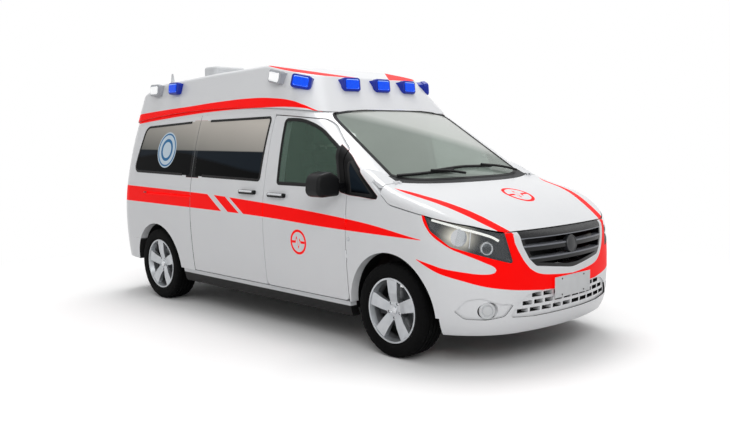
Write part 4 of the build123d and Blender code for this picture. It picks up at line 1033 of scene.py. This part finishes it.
def sideways(spot):
    return Vector((0, math.copysign(1, spot.y), 0))


def backwards(spot):
    return Vector((-1, 0, 0))


def upwardsAhead(spot):
    return Vector((0.7, 0, 0.7))


for side in ("left", "right"):
    sealPane("door_seal_" + side, "door_glass_" + side, sideways, "front_door_" + side, sealLook["doorWide"])
sealPane("side_window_seals", "side_windows", sideways, "body", leave=sealLook["bandGap"])
for side in ("left", "right"):
    sealPane("tail_seal_" + side, "tail_glass_" + side, backwards, "tail_door_" + side)
sealPane("screen_seal", "windscreen", upwardsAhead, "body", sealLook["screenWide"])
print("glass seals made")


def lampFront(spot):  # straight out of the nose's corner
    return Vector((1, math.copysign(1, spot.y), 0)).normalized()


def onLamp(spot, out):  # the point of the lamps' front face that lies ahead of a spot
    return castOn("head_lamps", spot + out * 0.4, -out)[0] or spot


def lampSpot(point, side, deep):  # a point of the lamp's front face, moved in by a depth
    out = lampFront(Vector((0, side, 0)))
    return onLamp(Vector((point[0], point[1] * side, point[2])), out) - out * deep


def lampShell(edge, middle):  # the lens just under the solid's front face, and the bowl behind it
    rows = [[onLamp(middle.lerp(p, share), lampFront(p)) for p in edge] for share, deep in lampLook["rings"]]
    last = tuple(range((len(rows) - 1) * len(edge), len(rows) * len(edge)))
    faces = ringFaces(len(rows), len(edge)) + [last]
    lens = [p - lampFront(p) * 0.0006 for row in rows for p in row]
    bowl = []
    for row, (share, deep) in zip(rows, lampLook["rings"]):
        bowl += [p - lampFront(p) * deep for p in row]
    return (lens, faces), (bowl, faces)


def lampLine(points, side, deep, section):  # a section carried along the front face at a depth
    path = [lampSpot(p, side, deep) for p in smoothLine(points, 4)]
    return swept(path, [lampFront(p) for p in path], section)


def lampInsides(side):  # light strip, bright parts, bulb and projector dome
    look = lampLook
    section = [(-0.008, -0.006), (-0.008, 0.002), (-0.004, 0.005), (0.004, 0.005), (0.008, 0.002),
               (0.008, -0.006)]
    strip = lampLine(look["strip"], side, 0.013, section)
    section = [(-0.003, -0.012), (-0.003, 0.004), (0.003, 0.004), (0.003, -0.012)]
    fin = lampLine(look["fin"], side, 0.016, section)
    ahead = Vector((0.93, look["aim"] * side, 0))
    spot, wide = lampSpot(look["reflector"], side, 0.012), look["reflectorWide"]
    dish = turned([(wide, -0.002), (wide * 0.97, 0.0), (wide * 0.94, -0.003), (wide * 0.7, -0.018),
                   (wide * 0.4, -0.026), (wide * 0.1, -0.028)], 40, spot, ahead)
    bulb = turned([(0.020, -0.027), (0.026, -0.018), (0.020, -0.008), (0.008, -0.004)], 28, spot, ahead)
    spot, wide = lampSpot(look["projector"], side, 0.020), look["projectorWide"]
    tube = turned([(wide, -0.022), (wide, 0.002), (wide * 0.94, 0.006), (wide * 0.86, 0.002)],
                  40, spot, ahead)
    dome = turned([(wide * 0.84, -0.004), (wide * 0.7, 0.007), (wide * 0.4, 0.014), (wide * 0.1, 0.016)],
                  32, spot, ahead)
    return strip, [dish, tube, fin], bulb, dome


# Fog lamps: a pale stepped cover in each pod, turned a little outwards.
fogLook = {"wide": 0.056, "aim": (0.80, 0.60)}


def fogCover(middle, side):
    wide, (ahead, out) = fogLook["wide"], fogLook["aim"]
    profile = [(wide, -0.014), (wide, 0.0), (wide * 0.93, 0.004), (wide * 0.74, 0.004), (wide * 0.68, -0.004),
               (wide * 0.60, -0.004), (wide * 0.54, 0.003), (wide * 0.1, 0.005)]
    return turned(profile, 40, onLamp(middle, Vector((1, 0, 0))), Vector((ahead, out * side, 0)))


def buildHeadLamps():
    made = {"lens": [], "bowl": [], "strip": [], "bright": [], "bulb": [], "dome": [], "fog": []}
    for line in paneEdges("head_lamps", lampFront):
        edge = [p for p, n in evenLine(line, 0.012)]
        middle = sum(edge, Vector()) / len(edge)
        side = math.copysign(1, middle.y)
        if middle.z < lampLook["lowest"]:
            made["fog"].append(fogCover(middle, side))
            continue
        lens, bowl = lampShell(edge, middle)
        strip, bright, bulb, dome = lampInsides(side)
        made["bright"] += bright
        for kind, shape in (("lens", lens), ("bowl", bowl), ("strip", strip), ("bulb", bulb), ("dome", dome)):
            made[kind].append(shape)
    lenses = addPiece("lamp_lenses", *joinShapes(made["lens"]), "clearLens", "body", "lamp_clear")
    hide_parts("head_lamps")
    pieces = [("lamp_bowls", "bowl", "lampBowl"), ("lamp_strips", "strip", "lampStrip"),
              ("lamp_reflectors", "bright", "bright_steel"), ("lamp_lights", "bulb", "lampBulb"),
              ("lamp_projectors", "dome", "lamp_clear"), ("fog_covers", "fog", "pale_plastic")]
    for name, kind, finish in pieces:
        addPiece(name, *joinShapes(made[kind]), finish, "body", "lamp_clear")


buildHeadLamps()
print("head lamps made")

# Padded pieces: each starts as a rounded block, is swollen by a short cloth run and then gets its channels.
# Sizes are metres in the pad's own frame, "voxel" is the mesh step and "cap" the farthest a point may swell.
# A channel is an axis, a place along it and a depth.
padLooks = {
    "cushion": {"size": (0.490, 0.490, 0.130), "round": 0.045, "voxel": 0.012, "cap": 0.024, "taper": 0.04,
                "channels": [("y", -0.150, 0.012), ("y", 0.150, 0.012), ("x", -0.075, 0.010),
                             ("x", 0.085, 0.010)]},
    "backrest": {"size": (0.110, 0.470, 0.630), "round": 0.045, "voxel": 0.012, "cap": 0.024, "taper": 0.10,
                 "channels": [("y", -0.140, 0.012), ("y", 0.140, 0.012), ("z", 0.150, 0.010),
                              ("z", -0.060, 0.010)]},
    "headrest": {"size": (0.078, 0.262, 0.182), "round": 0.036, "voxel": 0.008, "cap": 0.012, "taper": 0.08,
                 "channels": [("y", -0.085, 0.006), ("y", 0.085, 0.006)]},
    "mattress": {"size": (1.870, 0.500, 0.068), "round": 0.030, "voxel": 0.014, "cap": 0.010, "taper": 0.0,
                 "channels": [("x", -0.420, 0.012), ("x", 0.060, 0.012), ("x", 0.500, 0.012)]},
}
sewing = {"pressure": 4.0, "frames": 20, "channelWide": 0.011, "seamIn": 0.018, "seamWide": 0.005,
          "seamDeep": 0.0035}


def settle(piece):  # modifiers become the mesh itself
    shaped = piece.evaluated_get(bpy.context.evaluated_depsgraph_get())
    mesh = bpy.data.meshes.new_from_object(shaped)
    piece.modifiers.clear()
    piece.data = mesh


def roundedBlock(name):  # an even mesh that narrows towards its top or front
    look = padLooks[name]
    size = Vector(look["size"])
    verts, faces = boxShape(size * -0.5, size * 0.5, look["round"])
    mesh = bpy.data.meshes.new("pad_" + name)
    mesh.from_pydata(verts, [], faces)
    pad = bpy.data.objects.new("pad_" + name, mesh)
    scene.collection.objects.link(pad)
    remesh = pad.modifiers.new("even", "REMESH")
    remesh.mode, remesh.voxel_size = "VOXEL", look["voxel"]
    settle(pad)
    for v in pad.data.vertices:
        lean = v.co.z / size.z if size.z > size.x else v.co.x / size.x
        v.co.y *= 1.0 - look["taper"] * max(0.0, lean)
    return pad


def swell(pad, cap):
    start = [v.co.copy() for v in pad.data.vertices]
    cloth = pad.modifiers.new("swell", "CLOTH")
    cloth.settings.use_pressure = True
    cloth.settings.uniform_pressure_force = sewing["pressure"]
    cloth.settings.effector_weights.gravity = 0.0
    cloth.point_cache.frame_start, cloth.point_cache.frame_end = 1, sewing["frames"]
    for step in range(1, sewing["frames"] + 1):
        scene.frame_set(step)
    settle(pad)
    scene.frame_set(1)
    for v, old in zip(pad.data.vertices, start):
        move = v.co - old
        v.co = old + move * min(1.0, cap / max(move.length, 1e-9))


def sewChannels(pad, size, channels):  # dents along the channels and a fine seam near the edges
    normals = [v.normal.copy() for v in pad.data.vertices]
    for v, normal in zip(pad.data.vertices, normals):
        dent = 0.0
        for axis, where, deep in channels:
            index = "xyz".index(axis)
            across = (v.co[index] - where) / sewing["channelWide"]
            if abs(normal[index]) < 0.5:
                dent = max(dent, deep * math.exp(-across * across))
        edge = min(abs(abs(v.co[i]) - size[i] / 2 + sewing["seamIn"]) for i in range(3))
        v.co -= normal * (dent + sewing["seamDeep"] * math.exp(-(edge / sewing["seamWide"]) ** 2))


def padForm(name):
    look = padLooks[name]
    pad = roundedBlock(name)
    swell(pad, look["cap"])
    smooth = pad.modifiers.new("fine", "SUBSURF")
    smooth.levels = smooth.render_levels = 1
    settle(pad)
    pad.data.update()
    sewChannels(pad, Vector(look["size"]), look["channels"])
    form = pad.data.copy()
    bpy.data.objects.remove(pad)
    return form


def placePad(name, form, spot, lean, finish, node):
    mesh = form.copy()
    mesh.transform(Matrix.Translation(spot) @ Matrix.Rotation(math.radians(lean), 4, "Y"))
    mesh.materials.clear()
    mesh.materials.append(finishes[finish])
    mesh.shade_smooth()
    pad = bpy.data.objects.new(name, mesh)
    scene.collection.objects.link(pad)
    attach(pad, "body")
    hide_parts(node)
    return pad


# Cab seats: three pads on a pedestal with slide rails, a recliner cover on each side and two headrest posts.
# Pairs and triples are metres along, sideways and up from the seat's foot on the floor.
seatLook = {"x": 0.489, "y": 0.400, "floor": 0.520, "lean": -14.0,
            "cushion": (0.0, 0.290), "backrest": (-0.255, 0.640), "headrest": (-0.345, 1.050),
            "pedestal": ((-0.18, -0.19, 0.03), (0.18, 0.19, 0.215)), "pedestalEdge": 0.02,
            "railOut": 0.17, "rail": ((-0.19, -0.02, 0.0), (0.19, 0.02, 0.034)), "railEdge": 0.006,
            "recliner": (-0.20, 0.228, 0.30),
            "reclinerProfile": [(0.05, -0.010), (0.058, -0.006), (0.058, 0.006), (0.05, 0.010)],
            "post": (-0.328, 0.06, 0.960), "postProfile": [(0.007, -0.08), (0.007, 0.08)]}


def seatPedestal(foot):
    look = seatLook
    low, high = [foot + Vector(corner) for corner in look["pedestal"]]
    shapes = [boxShape(low, high, look["pedestalEdge"])]
    for side in (-1, 1):
        middle = foot + Vector((0, side * look["railOut"], 0))
        low, high = [middle + Vector(corner) for corner in look["rail"]]
        shapes.append(boxShape(low, high, look["railEdge"]))
    along, out, up = look["recliner"]
    for side in (-1, 1):
        shapes.append(turned(look["reclinerProfile"], 28, foot + Vector((along, side * out, up))))
    return shapes


def buildSeats():
    look = seatLook
    forms = {name: padForm(name) for name in ("cushion", "backrest", "headrest")}
    upright = Matrix.Rotation(math.radians(look["lean"]), 3, "Y") @ Vector((0, 0, 1))
    for side, y in (("right", -look["y"]), ("left", look["y"])):
        foot = Vector((look["x"], y, look["floor"]))
        for name, form in forms.items():
            along, up = look[name]
            lean = 0.0 if name == "cushion" else look["lean"]
            placePad(f"seat_{name}_{side}", form, foot + Vector((along, 0, up)), lean, "seat_fabric",
                     "front_seats")
        pedestal = joinShapes(seatPedestal(foot))
        addPiece(f"seat_pedestal_{side}", *pedestal, "cabin_plastic", "body", "cabin_plastic")
        along, out, up = look["post"]
        posts = [turned(look["postProfile"], 12, foot + Vector((along, across, up)), upright)
                 for across in (-out, out)]
        addPiece(f"headrest_posts_{side}", *joinShapes(posts), "bright_steel", "body", "steel")


buildSeats()
print("cab seats padded")

# Stretcher: a padded mattress held by two straps with plain buckles.
stretcherLook = {"straps": (-0.52, 0.30), "wide": 0.025, "thick": 0.0015, "lift": 0.0035, "steps": 40,
                 "buckle": ((-0.030, -0.036, -0.002), (0.030, 0.036, 0.009)), "buckleEdge": 0.004}


def strapLine(skin, middle):  # points over the mattress from one side to the other, with surface directions
    spots, normals = [], []
    for i in range(stretcherLook["steps"] + 1):
        turn = math.pi * i / stretcherLook["steps"]
        way = Vector((0, math.cos(turn), math.sin(turn) * 0.35))
        hit = skin.ray_cast(middle + way * 0.6, -way)[0]
        spots.append(hit + way.normalized() * stretcherLook["lift"])
        normals.append(Vector((0, math.cos(turn) * 0.4, math.sin(turn) + 0.05)))
    return spots, normals


def buildMattress():
    look = stretcherLook
    middle = middleOf("stretcher_mattress")
    pad = placePad("mattress_pad", padForm("mattress"), middle, 0.0, "mattress_cover",
                   "stretcher_mattress")
    skin = skinOf(pad.data)
    wide, thick = look["wide"], look["thick"]
    section = [(-wide, -thick), (-wide, thick), (wide, thick), (wide, -thick)]
    shapes = []
    for along in look["straps"]:
        spots, normals = strapLine(skin, middle + Vector((along, 0, 0)))
        shapes.append(swept(spots, normals, section))
        low, high = [spots[len(spots) // 2] + Vector(corner) for corner in look["buckle"]]
        shapes.append(boxShape(low, high, look["buckleEdge"]))
    addPiece("stretcher_straps", *joinShapes(shapes), "black_plastic", "body", "black_plastic")


buildMattress()
print("stretcher mattress padded")
